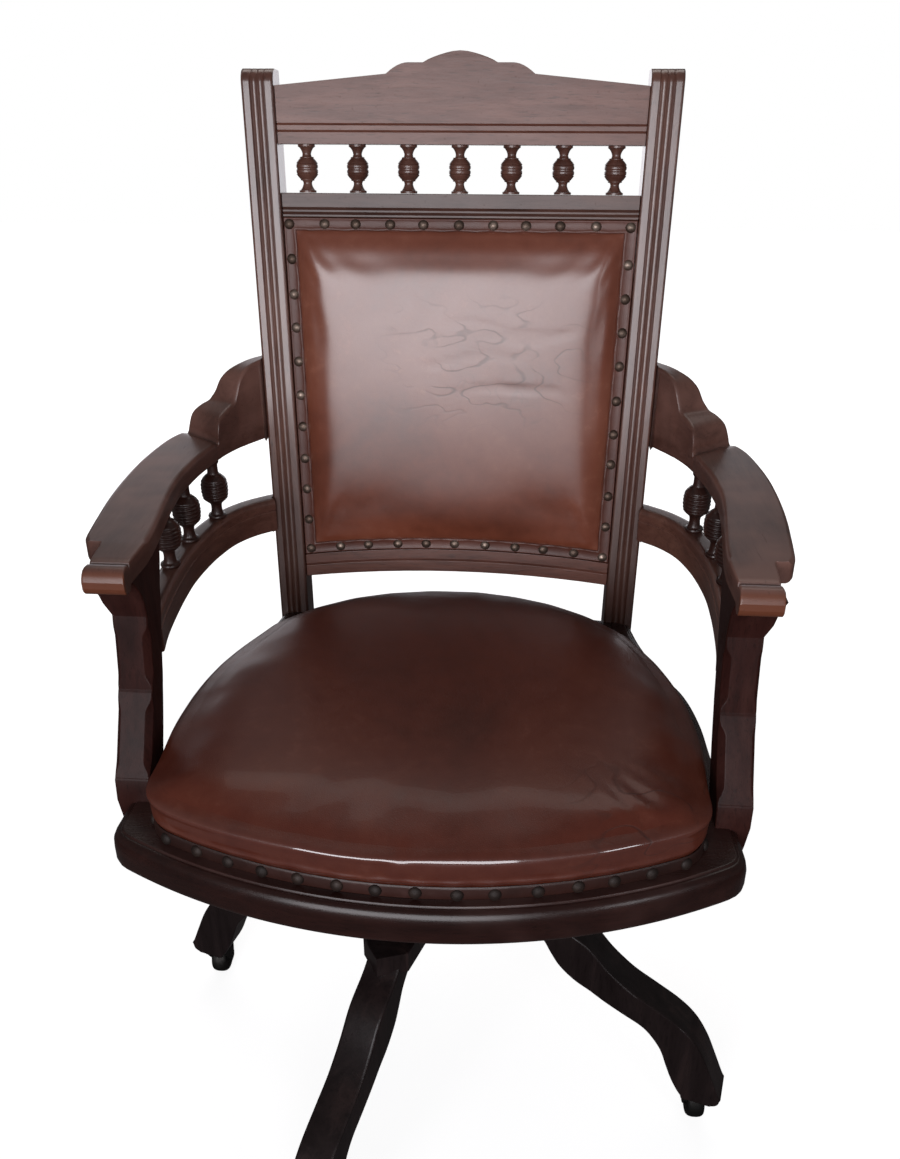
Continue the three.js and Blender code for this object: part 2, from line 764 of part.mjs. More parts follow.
function backPad() {
  const wide = 2 * railEnd((lowerTop + midShow) / 2);
  const tall = midShow - lowerEndBottom - lowerShow;
  const us = gridShares(wide);
  const vs = gridShares(tall);
  const backY = railSetBack + rebateDepth - seatGap;
  const positions = [];
  const index = [];
  const level = (front) => us.forEach((u) => vs.forEach((v) => {
    const [x, height] = padPoint(u, v, 0);
    const across = padRise(Math.min(u, 1 - u) * wide);
    const up = padRise(Math.min(v, 1 - v) * tall);
    const rise = padEdgeThickness + (padCrown - padEdgeThickness) * across * up;
    positions.push(x, front ? backY - rise : backY, height);
  }));
  level(true);
  level(false);
  const [n, m] = [us.length, vs.length];
  const quad = (a, b, c, d) => index.push(a, b, c, a, c, d);
  const at = (i, j, back) => i * m + j + (back ? n * m : 0);
  for (let i = 0; i < n - 1; i++) {
    for (let j = 0; j < m - 1; j++) {
      quad(at(i, j), at(i + 1, j), at(i + 1, j + 1), at(i, j + 1));
      quad(at(i, j + 1, true), at(i + 1, j + 1, true), at(i + 1, j, true), at(i, j, true));
    }
    quad(at(i, 0, true), at(i + 1, 0, true), at(i + 1, 0), at(i, 0));
    quad(at(i, m - 1), at(i + 1, m - 1), at(i + 1, m - 1, true), at(i, m - 1, true));
  }
  for (let j = 0; j < m - 1; j++) {
    quad(at(0, j), at(0, j + 1), at(0, j + 1, true), at(0, j, true));
    quad(at(n - 1, j, true), at(n - 1, j + 1, true), at(n - 1, j + 1), at(n - 1, j));
  }
  const geometry = new THREE.BufferGeometry();
  geometry.setAttribute("position", new THREE.Float32BufferAttribute(positions, 3));
  geometry.setIndex(index);
  return closed(geometry);
}

function bandOutline(edge) {
  const bottom = Array.from({ length: archSteps + 1 }, (_, k) => padPoint(k / archSteps, 0, edge));
  return [...bottom, padPoint(1, 1, edge), padPoint(0, 1, edge)];
}

function backBand() {
  const shape = shapeOf(bandOutline(seatGap));
  shape.holes.push(shapeOf(bandOutline(backBandWidth)));
  const backY = railSetBack + rebateDepth - seatGap - padEdgeThickness - seatGap;
  return plate(shape, backY - bandThickness, backY);
}

// A flat sheet that fills the opening between the posts and the rails' hidden edges.
function openingSheet(y0, thickness) {
  const low = lowerTop + seatGap;
  const high = midShow - rebateWidth - seatGap;
  const outline = shapeOf([
    [-railEnd(low), low], [railEnd(low), low], [railEnd(high), high], [-railEnd(high), high],
  ]);
  return plate(outline, y0, y0 + thickness);
}

// Arms

// A slice of the arm: inner and outer foot points, top and bottom heights, and the edge rounding.
function armSlice(inner, outer, top, bottom, edge, leanShare) {
  const across = outer.clone().sub(inner);
  const width = across.length();
  const turn = edge * armEdgeShare;
  const points = [
    [0, bottom], [0, top - edge], [turn, top - turn], [edge, top], [width - edge, top],
    [width - turn, top - turn], [width, top - edge], [width, bottom + edge], [width - edge, bottom],
  ];
  return points.map(([along, z]) => {
    const place = inner.clone().add(across.clone().multiplyScalar(along / width));
    const lean = leanShare * (postFrontY(z) - postFrontY(armTop));
    const spread = leanShare * (postOuterAt(alongPosts(z)) - postOuterAt(alongPosts(armTop)));
    return new THREE.Vector3(place.x + spread, place.y + lean, z);
  });
}

function armRest() {
  const rootX = (postOuterAt(alongPosts(armTop)) + seatGap) / armHalfSpread;
  const stations = armStationShares.map(([ix, iy, ox, oy, rise], k) => {
    const innerX = (k === 0 ? rootX : ix) * armHalfSpread;
    const outerX = (k === 0 ? rootX : ox) * armHalfSpread;
    const inner = new THREE.Vector2(innerX, iy * armBackReach);
    const outer = new THREE.Vector2(outerX, oy * armBackReach);
    const leanShare = k === 0 ? 1 : 0;
    return armSlice(inner, outer, armTop + rise * armRise, armUnderside, armEdge, leanShare);
  });
  const thickness = armTop - armUnderside;
  const nose = armLipShares.map(([ix, ox, y, drop, lip]) => {
    const inner = new THREE.Vector2(ix * armHalfSpread, y * armBackReach);
    const outer = new THREE.Vector2(ox * armHalfSpread, y * armBackReach);
    const low = armUnderside - lip * armLipDrop;
    return armSlice(inner, outer, armTop + drop * thickness / 2, low, armNoseEdge, 0);
  });
  return loft([...stations, ...nose]);
}

// Front arm posts: a side outline of flat faces that knee forwards, under a flared block

function armPostOutline() {
  const [top, knee, step, foot] = armPostFront;
  const [topZ, kneeZ, stepZ, footZ] = armPostFrontZ;
  const underArm = armUnderside - seatGap;
  const depth = armPostDepth;
  const shape = new THREE.Shape();
  shape.moveTo(-capitalReach, underArm);
  shape.quadraticCurveTo(-top - seatGap, underArm - (underArm - topZ) * capitalCurveShare, -top, topZ);
  shape.lineTo(-knee, kneeZ);
  shape.lineTo(-step, stepZ);
  shape.lineTo(-foot, footZ);
  shape.lineTo(-foot, armPostBottom + armPostFootRound);
  shape.quadraticCurveTo(-foot, armPostBottom, armPostFootRound - foot, armPostBottom);
  shape.lineTo(depth - foot, armPostBottom);
  shape.lineTo(depth - foot, footZ);
  shape.quadraticCurveTo(depth - knee - (knee - top), kneeZ, depth - top, topZ);
  shape.lineTo(depth - top, underArm);
  return shape;
}

function capitalOutline() {
  const [top] = armPostFront;
  const [topZ] = armPostFrontZ;
  const underArm = armUnderside - seatGap;
  const shape = new THREE.Shape();
  shape.moveTo(-capitalReach, underArm);
  shape.quadraticCurveTo(-top - seatGap, underArm - (underArm - topZ) * capitalCurveShare, -top, topZ);
  shape.lineTo(armPostDepth - top, topZ);
  shape.lineTo(armPostDepth - top, underArm);
  return shape;
}

// An outline in Y and Z, given a thickness outwards from the post's inner face.
function alongPost(shape, width) {
  const slab = new THREE.ExtrudeGeometry(shape, { depth: width, bevelEnabled: false, curveSegments: 5 });
  return slab.applyMatrix4(sideways).translate(armPostInner, 0, 0);
}

// A stopped chamfer along one front edge between two points of the post's face.
function stoppedChamfer(x, outward, from, to) {
  const [start, end] = [new THREE.Vector2(...from), new THREE.Vector2(...to)];
  const along = end.clone().sub(start);
  const run = chamferRun / along.length();
  const stops = [[0, 0], [run, 1], [1 - run, 1], [1, 0]];
  const normal = new THREE.Vector2(along.y, -along.x).normalize();
  if (normal.x > 0) normal.negate();
  return loft(stops.map(([share, full]) => {
    const size = seatGap + full * chamferSize;
    const place = start.clone().add(along.clone().multiplyScalar(share));
    const ahead = place.clone().add(normal.clone().multiplyScalar(seatGap));
    const inside = place.clone().sub(normal.clone().multiplyScalar(size));
    const side = x + outward * seatGap;
    return [
      new THREE.Vector3(side, ahead.x, ahead.y),
      new THREE.Vector3(x - outward * size, ahead.x, ahead.y),
      new THREE.Vector3(side, inside.x, inside.y),
    ];
  }));
}

function armPost() {
  const [top, knee, step] = armPostFront;
  const [topZ, kneeZ, stepZ] = armPostFrontZ;
  const outerX = armPostInner + armPostWidth;
  const slab = alongPost(armPostOutline(), armPostWidth);
  const capital = alongPost(capitalOutline(), armPostWidth + capitalFlare);
  const faceAt = (from, to, fromZ, toZ, share) => [
    -(from + (to - from) * share), fromZ + (toZ - fromZ) * share,
  ];
  const upperInset = chamferInset / (topZ - kneeZ);
  const lowerInset = chamferInset / (kneeZ - stepZ);
  const chamfers = [[armPostInner, -1], [outerX, 1]].flatMap(([x, outward]) => [
    stoppedChamfer(x, outward, faceAt(top, knee, topZ, kneeZ, upperInset),
      faceAt(top, knee, topZ, kneeZ, 1 - upperInset)),
    stoppedChamfer(x, outward, faceAt(knee, step, kneeZ, stepZ, lowerInset),
      faceAt(knee, step, kneeZ, stepZ, 1 - lowerInset)),
  ]);
  return cut(joined(slab, capital), ...chamfers);
}

// The post's rear face: how far back it lies at a height between its top and its knee.
function armPostRearAt(z) {
  const [top, knee] = armPostFront;
  const [topZ, kneeZ] = armPostFrontZ;
  const share = THREE.MathUtils.clamp((topZ - z) / (topZ - kneeZ), 0, 1);
  const control = armPostDepth - knee - (knee - top);
  return armPostDepth - top + (control - armPostDepth + top) * share * share;
}

// Curved side rails

const sideRailCurve = new THREE.SplineCurve(
  sideRailShares.map(([x, y]) => new THREE.Vector2(x * sideRailHalfSpread, y * armBackReach)),
);

function sideRail() {
  const bottom = sideRailTop - sideRailHeight;
  const half = sideRailWidth / 2;
  const edge = sideRailEdge;
  const section = [
    [-half, bottom + edge], [-half, sideRailTop - edge], [edge - half, sideRailTop],
    [half - edge, sideRailTop],
    [half, sideRailTop - edge], [half, bottom + edge], [half - edge, bottom], [edge - half, bottom],
  ];
  const rings = Array.from({ length: sideRailStations + 1 }, (_, k) => {
    const t = k / sideRailStations;
    const place = sideRailCurve.getPoint(t);
    const along = sideRailCurve.getTangent(t);
    const side = new THREE.Vector2(-along.y, along.x);
    return section.map(([across, z]) => {
      const point = new THREE.Vector3(place.x + side.x * across, place.y + side.y * across, z);
      if (k === 0) point.x = postOuterAt(alongPosts(z)) + seatGap;
      if (k === 0) point.y = place.y + across + (postFrontY(z) - postFrontY(sideRailTop));
      return point;
    });
  });
  const rear = armPostRearAt(sideRailTop) + seatGap;
  const behind = block(0, armHalfSpread, -seatFrontReach, rear, bottom - overrun, sideRailTop + overrun);
  return cut(loft(rings), behind);
}

// Base

function castorStack() {
  return 2 * wheelRadius + crownClear + crownThickness + seatGap + cupThickness + seatGap;
}

const footHeight = castorStack();

function legPoint([r, z]) {
  return new THREE.Vector2(r * legReach, footHeight + z * (legHeight - footHeight));
}

function legOutline() {
  const root = hubRadius - tenonDepth / 2;
  const shape = new THREE.Shape();
  shape.moveTo(root, legHeight);
  shape.splineThru(legTopShares.map(legPoint));
  legToeShares.map(legPoint).forEach((point) => shape.lineTo(point.x, point.y));
  shape.lineTo(legHeelShare * legReach, footHeight);
  shape.splineThru(legUnderShares.map(legPoint));
  shape.lineTo(root, legPoint([1, legRootUnderShare]).y);
  return shape;
}

function tenon(grow) {
  const [low, high] = tenonShares;
  const half = tenonWidth / 2 + grow;
  return block(hubRadius - tenonDepth - grow, hubRadius + seatGap + overrun, -half, half,
    legPoint([1, low]).y - grow, legPoint([1, high]).y + grow);
}

// The broad block over the leg's root: its outer end comes to a point.
function shoulder() {
  const half = shoulderWidth / 2;
  const root = hubRadius - tenonDepth / 2;
  const plan = [
    new THREE.Vector2(root, -half), new THREE.Vector2(shoulderReach, -half),
    new THREE.Vector2(shoulderReach + shoulderNose, 0), new THREE.Vector2(shoulderReach, half),
    new THREE.Vector2(root, half),
  ];
  return prism(plan, shoulderBottom, shoulderTop);
}

function legGeometry() {
  const slab = plate(legOutline(), -legWidth / 2, legWidth / 2, 2);
  const socket = bore(cupStemRadius + seatGap, footHeight - overrun, footHeight + cupStemLength + seatGap);
  const coped = cut(joined(slab, shoulder()), bore(hubRadius + seatGap, hubBottom, hubTop));
  return cut(joined(coped, tenon(0)), socket.translate(castorReach, 0, 0));
}

function hubGeometry() {
  const points = hubShares.map(([r, h]) => [r * hubRadius, hubBottom + h * (hubTop - hubBottom)]);
  const body = turned([[0, hubBottom], ...points, [0, hubTop]], shaftSides);
  const well = bore(bushBore / 2 + bushWall + seatGap, hubBottom - overrun, hubTop + overrun);
  const mortises = Object.values(legBearings).map((bearing) =>
    tenon(seatGap).rotateZ(THREE.MathUtils.degToRad(bearing)));
  return cut(body, well, ...mortises);
}

const bushTop = hubTop + seatGap + bushFlange;

function bushGeometry() {
  const outer = bushBore / 2 + bushWall;
  const bottom = hubTop - bushLengthShare * (hubTop - hubBottom);
  const body = joined(rod(outer, bottom, bushTop), rod(bushFlangeRadius, hubTop + seatGap, bushTop));
  const bored = cut(body, bore(bushBore / 2, bottom - overrun, bushTop + overrun));
  const key = block(-keyWidth / 2, keyWidth / 2, screwRadius - keyDepth + seatGap, outer - seatGap,
    bottom, bushTop);
  return joined(bored, key);
}

// Castors, each modelled about its own upright axis with its wheel trailing towards +Y

function wheelGeometry() {
  const half = wheelWidth / 2;
  const tread = half * wheelTreadShare;
  const eye = (axleRadius + turnGap) / Math.cos(Math.PI / shaftSides);
  const profile = [
    [eye, -half], [wheelFace, -half], [wheelRadius - wheelCrown, wheelCrown - half],
    [wheelRadius, -tread], [wheelRadius, tread], [wheelRadius - wheelCrown, half - wheelCrown],
    [wheelFace, half], [eye, half], [eye, -half],
  ];
  const rim = new THREE.LatheGeometry(profile.map(([r, y]) => new THREE.Vector2(r, y)), shaftSides);
  return closed(rim.rotateZ(Math.PI / 2).translate(0, castorTrail, wheelRadius));
}

function forkCheek(x0) {
  const crownZ = 2 * wheelRadius + crownClear;
  const shape = new THREE.Shape();
  shape.moveTo(-forkHalfWidth, crownZ + crownThickness / 2);
  shape.lineTo(castorTrail - forkEye, wheelRadius);
  shape.absarc(castorTrail, wheelRadius, forkEye, Math.PI, 2 * Math.PI, false);
  shape.lineTo(forkHalfWidth, crownZ + crownThickness / 2);
  const slab = new THREE.ExtrudeGeometry(shape, {
    depth: forkThickness, bevelEnabled: false, curveSegments: forkSegments,
  });
  slab.applyMatrix4(sideways);
  return closed(slab.translate(x0, 0, 0));
}

function hornGeometry() {
  const inner = wheelWidth / 2 + forkGap;
  const outer = inner + forkThickness;
  const end = outer + axleRadius / 2;
  const crownZ = 2 * wheelRadius + crownClear;
  return joined(block(-outer, outer, -forkHalfWidth, forkHalfWidth, crownZ, crownZ + crownThickness),
    forkCheek(inner), forkCheek(-outer),
    barAlongX(axleRadius, -end, end, castorTrail, wheelRadius, turnedSides),
    rod(pintleRadius, crownZ + crownThickness / 2, crownZ + crownThickness + pintleLength, turnedSides));
}

function cupGeometry() {
  const low = 2 * wheelRadius + crownClear + crownThickness + seatGap;
  const body = joined(rod(cupRadius, low, low + cupThickness),
    rod(cupStemRadius, low + cupThickness / 2, low + cupThickness + cupStemLength));
  return cut(body, bore(pintleRadius + turnGap, low - overrun, low + pintleLength + turnGap));
}

// Height screw

function screwGeometry() {
  const flangeTop = screwFlangeZ + screwFlange;
  const capZ = yokePlateTop + seatGap;
  const profile = [
    [0, screwBottom], [screwRadius - screwBevel, screwBottom], [screwRadius, screwBottom + screwBevel],
    [screwRadius, screwFlangeZ], [screwFlangeRadius, screwFlangeZ], [screwFlangeRadius, flangeTop],
    [swivelRadius, flangeTop], [swivelRadius, capZ], [swivelCapRadius, capZ],
    [swivelCapRadius, capZ + swivelCap], [0, capZ + swivelCap],
  ];
  const keyway = block(-keyWidth / 2 - seatGap, keyWidth / 2 + seatGap, screwRadius - keyDepth,
    screwRadius + overrun, screwBottom - overrun, screwFlangeZ - screwFlange);
  return cut(turned(profile, shaftSides), keyway);
}

function handWheelGeometry() {
  const low = bushTop + seatGap;
  const middle = low + handWheelHeight / 2;
  const rim = new THREE.TorusGeometry(handWheelRadius - handWheelRim, handWheelRim,
    handWheelRimSides, handWheelRimSteps);
  const boss = rod(handWheelHub, low, low + handWheelHeight);
  const spokes = Array.from({ length: handWheelSpokes }, (_, k) => {
    const spoke = barAlongX(spokeRadius, screwRadius + turnGap, handWheelRadius - handWheelRim, 0, 0,
      spokeSides);
    return spoke.rotateZ(k * 2 * Math.PI / handWheelSpokes).translate(0, 0, middle);
  });
  const body = joined(boss, rim.translate(0, 0, middle), ...spokes);
  return cut(body, bore(screwRadius + turnGap, low - overrun, low + handWheelHeight + overrun));
}

// Tilting iron

const barTop = seatTop - seatThickness - seatGap;
const barBottom = barTop - barThickness;
const cheekOuter = yokeHalfWidth + cheekThickness;
const lugInner = cheekOuter + turnGap;
const springTop = armPlateBottom - seatGap;
const springBottom = springTop - springLength;

function boltSlotCutter(z0, z1, reach) {
  return block(-boltRadius - turnGap, boltRadius + turnGap, springY - boltRadius - turnGap - reach,
    springY + boltRadius + turnGap, z0, z1);
}

function yokeGeometry() {
  const plateBottom = yokePlateTop - yokePlateThickness;
  const earTop = tiltPinZ + tiltEarRise;
  const plateBody = block(-cheekOuter, cheekOuter, tiltPinY - tiltEarHalf, yokeBack, plateBottom,
    yokePlateTop);
  const cheeks = [-1, 1].map((side) => {
    const xs = [side * yokeHalfWidth, side * cheekOuter].sort((a, b) => a - b);
    return block(...xs, tiltPinY - tiltEarHalf, tiltPinY + tiltEarHalf, plateBottom, earTop);
  });
  const armPlate = block(-yokeHalfWidth - cheekThickness / 2, yokeHalfWidth + cheekThickness / 2,
    -armPlateFront, tiltPinY - tiltEarHalf + cheekThickness, armPlateBottom,
    armPlateBottom + armPlateThickness);
  const tieBottom = barBottom - barThickness;
  const stops = [-1, 1].map((side) =>
    rod(stopRadius, armPlateBottom + armPlateThickness / 2, tieBottom - seatGap, turnedSides)
      .translate(side * stopX, springY, 0));
  const boss = rod(yokeBossRadius, yokeBottom, yokePlateTop);
  const body = joined(plateBody, boss, ...cheeks, armPlate, ...stops);
  return cut(body, bore(swivelRadius + turnGap, yokeBottom - overrun, yokePlateTop + overrun),
    boreAlongX(tiltPinRadius + turnGap, -cheekOuter - overrun, cheekOuter + overrun, tiltPinY, tiltPinZ),
    boltSlotCutter(armPlateBottom - overrun, armPlateBottom + armPlateThickness + overrun, boltSlot));
}

function seatIronGeometry() {
  const lugOuter = lugInner + lugThickness;
  const tieBottom = barBottom - barThickness;
  const bars = [-1, 1].map((side) => {
    const xs = [side * lugInner, side * (lugInner + barWidth)].sort((a, b) => a - b);
    return block(...xs, -barFront, barBack, barBottom, barTop);
  });
  const lugs = [-1, 1].map((side) => {
    const xs = [side * lugInner, side * lugOuter].sort((a, b) => a - b);
    return block(...xs, tiltPinY - tiltEarHalf, tiltPinY + tiltEarHalf, tiltPinZ - lugDrop,
      barBottom + barThickness / 2);
  });
  const reach = lugInner + barWidth;
  const tie = block(-reach, reach, springY - tieWidth / 2, springY + tieWidth / 2, tieBottom,
    barBottom + seatGap);
  const body = joined(bars[0], tie, bars[1], ...lugs);
  return cut(body,
    boreAlongX(tiltPinRadius + turnGap, -lugOuter - overrun, lugOuter + overrun, tiltPinY, tiltPinZ),
    boltSlotCutter(tieBottom - overrun, barBottom + overrun, 0));
}

function tiltPinGeometry() {
  const end = lugInner + lugThickness + turnGap;
  return joined(barAlongX(tiltPinRadius, -end, end, tiltPinY, tiltPinZ),
    barAlongX(tiltPinHead, end, end + tiltPinHeadThickness, tiltPinY, tiltPinZ),
    barAlongX(tiltPinHead, -end - tiltPinHeadThickness, -end, tiltPinY, tiltPinZ));
}

// The coil's centre line: a helix whose pitch is what the length leaves between flat-laid ends.
class Helix extends THREE.Curve {
  getPoint(t) {
    const angle = t * springTurns * 2 * Math.PI;
    const low = springBottom + springWire / 2;
    const high = springTop - springWire / 2;
    return new THREE.Vector3(springRadius * Math.cos(angle), springY + springRadius * Math.sin(angle),
      low + t * (high - low));
  }
}

function springGeometry() {
  const section = shapeOf(Array.from({ length: springSides }, (_, k) => {
    const angle = k * 2 * Math.PI / springSides;
    return [springWire / 2 * Math.cos(angle), springWire / 2 * Math.sin(angle)];
  }));
  return closed(new THREE.ExtrudeGeometry(section, {
    steps: springTurns * springStepsPerTurn, bevelEnabled: false, extrudePath: new Helix(),
  }));
}

// The least space between one turn of the coil and the next, measured on points of its centre line.
function leastCoilGap() {
  const samples = springTurns * springStepsPerTurn * springSamplesPerStep;
  const points = new Helix().getPoints(samples);
  const halfTurn = samples / springTurns / 2;
  let least = Infinity;
  points.forEach((point, i) => points.slice(Math.ceil(i + halfTurn)).forEach((other) => {
    least = Math.min(least, point.distanceTo(other) - springWire);
  }));
  return least;
}

const boltHeadZ = barBottom + seatGap * 2 + boltHeadRadius;

function tensionBoltGeometry() {
  return joined(rod(boltRadius, springBottom - boltTail, boltHeadZ).translate(0, springY, 0),
    barAlongX(boltHeadRadius, -boltHeadLength / 2, boltHeadLength / 2, springY, boltHeadZ));
}

function tensionKnobGeometry() {
  const top = springBottom - seatGap;
  const low = top - washerThickness;
  const lobes = knobLobes * 2;
  const star = Array.from({ length: lobes }, (_, k) => {
    const angle = k * 2 * Math.PI / lobes;
    const radius = knobRadius - (k % 2) * knobLobeDepth;
    return new THREE.Vector2(radius * Math.cos(angle), radius * Math.sin(angle));
  });
  const body = joined(rod(washerRadius, low, top), prism(star, low - knobHeight, low + washerThickness / 2));
  const eye = bore(boltRadius + turnGap, low - knobHeight - overrun, top + overrun);
  return cut(body, eye).translate(0, springY, 0);
}

// Assembly

function buildBase() {
  addPiece(chair, "base_hub", hubGeometry(), darkWood);
  for (const [place, bearing] of Object.entries(legBearings)) {
    const angle = THREE.MathUtils.degToRad(bearing);
    const leg = addPiece(chair, `leg_${place}`, legGeometry(), darkWood);
    leg.rotation.z = angle;
    const castor = new THREE.Group();
    castor.position.set(castorReach * Math.cos(angle), castorReach * Math.sin(angle), 0);
    chair.add(castor);
    addPiece(castor, `castor_cup_${place}`, cupGeometry(), brass);
    addPiece(castor, `castor_horn_${place}`, hornGeometry(), iron);
    addPiece(castor, `castor_wheel_${place}`, wheelGeometry(), iron);
  }
}

function buildColumn() {
  addPiece(chair, "hub_bush", bushGeometry(), iron);
  addPiece(chair, "height_hand_wheel", handWheelGeometry(), iron);
  addPiece(chair, "height_screw", screwGeometry(), iron);
  addPiece(chair, "swivel_yoke", yokeGeometry(), iron);
  addPiece(chair, "tilt_pin", tiltPinGeometry(), iron);
  addPiece(chair, "seat_iron", seatIronGeometry(), iron);
  addPiece(chair, "tilt_spring", springGeometry(), iron);
  addPiece(chair, "tension_bolt", tensionBoltGeometry(), iron);
  addPiece(chair, "tension_knob", tensionKnobGeometry(), iron);
}

function buildSeat() {
  addPiece(chair, "seat_frame", seatFrame(), walnut);
  addPiece(chair, "seat_board", seatBoard(), walnut);
  addPiece(chair, "seat_cushion", seatCushion(), hideBrown);
  addPiece(chair, "seat_band", seatBand(), hideBrown);
}

function buildBack() {
  const post = backPost(0);
  addPiece(backFrame, "back_post_right", post, walnut);
  addPiece(backFrame, "back_post_left", mirrored(post), walnut);
  addPiece(backFrame, "crest_rail", crestRail(), walnut);
  addPiece(backFrame, "middle_rail", midRail(), walnut);
  addPiece(backFrame, "lower_rail", lowerRail(), walnut);
  for (let k = 0; k < backSpindleCount; k++) {
    const spindle = spindleGeometry(backSpindleShares, backSpindleRadius, midTop + seatGap,
      crestBottom - seatGap);
    const x = (k - (backSpindleCount - 1) / 2) * backSpindlePitch;
    spindle.translate(x, railSetBack + railDepth / 2, 0);
    addPiece(backFrame, `back_spindle_${k + 1}`, spindle, walnut);
  }
  const boardY = railSetBack + rebateDepth;
  addPiece(backFrame, "back_pad", backPad(), hideTan);
  addPiece(backFrame, "back_band", backBand(), hideTan);
  addPiece(backFrame, "back_board", openingSheet(boardY, panelThickness), walnut);
  const outside = openingSheet(boardY + panelThickness + seatGap, outsideLeather);
  addPiece(backFrame, "outside_back", outside, hideTan);
}

function buildArms() {
  const sides = { right: (geometry) => geometry, left: mirrored };
  for (const [side, turn] of Object.entries(sides)) {
    addPiece(chair, `arm_rest_${side}`, turn(armRest()), walnut);
    addPiece(chair, `arm_post_${side}`, turn(armPost()), walnut);
    addPiece(chair, `arm_rail_${side}`, turn(sideRail()), walnut);
    armSpindleAlongShares.forEach((share, k) => {
      const place = sideRailCurve.getPointAt(share);
      const spindle = spindleGeometry(armSpindleShares, armSpindleRadius, sideRailTop + seatGap,
        armUnderside - seatGap);
      spindle.translate(place.x, place.y, 0);
      addPiece(chair, `arm_spindle_${side}_${k + 1}`, turn(spindle), walnut);
    });
  }
}

buildBase();
buildColumn();
buildSeat();
buildBack();
buildArms();
console.log(`least gap between the spring's turns: ${leastCoilGap().toFixed(2)} mm`);

export default chair;
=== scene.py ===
"""A wooden swivel and tilt armchair: turned and reeded back, leather seat and back with dome nails.

Metres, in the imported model's frame: +Z up, the sitter faces -Y, the origin on the floor under the screw.
Sizes are written in millimetres and multiplied by MM. Lamps, materials and the folds of the padding are
written in metres.
"""

import json
import math

import bmesh
import bpy
import numpy as np
from mathutils import Matrix, Vector


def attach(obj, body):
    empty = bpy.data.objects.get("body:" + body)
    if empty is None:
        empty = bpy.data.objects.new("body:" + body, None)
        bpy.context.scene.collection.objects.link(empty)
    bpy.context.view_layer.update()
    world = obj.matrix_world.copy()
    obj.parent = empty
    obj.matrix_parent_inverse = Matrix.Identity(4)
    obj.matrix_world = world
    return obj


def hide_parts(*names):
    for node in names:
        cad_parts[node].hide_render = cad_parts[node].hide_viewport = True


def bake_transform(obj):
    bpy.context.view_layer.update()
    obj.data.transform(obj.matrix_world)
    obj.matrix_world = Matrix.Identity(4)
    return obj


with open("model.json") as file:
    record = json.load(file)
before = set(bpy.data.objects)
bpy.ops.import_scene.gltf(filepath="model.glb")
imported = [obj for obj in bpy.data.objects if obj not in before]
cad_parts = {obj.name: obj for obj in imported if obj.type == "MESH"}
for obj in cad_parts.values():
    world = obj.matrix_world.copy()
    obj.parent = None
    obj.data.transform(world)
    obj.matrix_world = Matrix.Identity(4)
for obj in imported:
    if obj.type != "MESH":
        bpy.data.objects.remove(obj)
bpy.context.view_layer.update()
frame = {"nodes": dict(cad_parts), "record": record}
nodes = frame["nodes"]
body_of_node = {
    node: body for body, members in frame["record"]["behaviour"]["bodies"].items() for node in members
}

MM = 0.001
TAU = 2 * math.pi
SIDES = {"right": 1, "left": -1}
LEG_BEARINGS = {"front_right": -15.8, "back_right": 69, "back_left": 164.2, "front_left": -110.4}


# Camera, floor and light

def add_camera():
    """The photo's view: 1.13 m up, 0.9 m in front of the axis, looking down 27.8 degrees."""
    place = Vector((78.2, -894.8, 1130.0)) * MM
    pitch, yaw, roll = math.radians(27.803), math.radians(-4.158), math.radians(-0.117)
    sensor, focal_pixels, photo_pixels = 36, 1050.1, 1159
    ahead = Vector((math.sin(yaw) * math.cos(pitch), math.cos(yaw) * math.cos(pitch), -math.sin(pitch)))
    level = Vector((math.cos(yaw), -math.sin(yaw), 0))
    upright = level.cross(ahead)
    across = math.cos(roll) * level + math.sin(roll) * upright
    up = math.cos(roll) * upright - math.sin(roll) * level
    turn = Matrix((across, up, -ahead)).transposed().to_4x4()
    data = bpy.data.cameras.new("camera")
    data.sensor_fit = "VERTICAL"
    data.sensor_height = sensor
    data.lens = sensor * focal_pixels / photo_pixels
    data.clip_start = 0.05
    camera = bpy.data.objects.new("camera", data)
    camera.matrix_world = Matrix.Translation(place) @ turn
    bpy.context.scene.collection.objects.link(camera)
    bpy.context.scene.camera = camera


def add_lamp(name, place, target, size, power, tint):
    """A soft rectangular lamp that faces its target."""
    data = bpy.data.lights.new(name, "AREA")
    data.shape = "RECTANGLE"
    data.size, data.size_y = size
    data.energy = power
    data.color = tint
    lamp = bpy.data.objects.new(name, data)
    aim = Vector(target) - Vector(place)
    lamp.matrix_world = Matrix.Translation(place) @ aim.to_track_quat("-Z", "Y").to_matrix().to_4x4()
    bpy.context.scene.collection.objects.link(lamp)


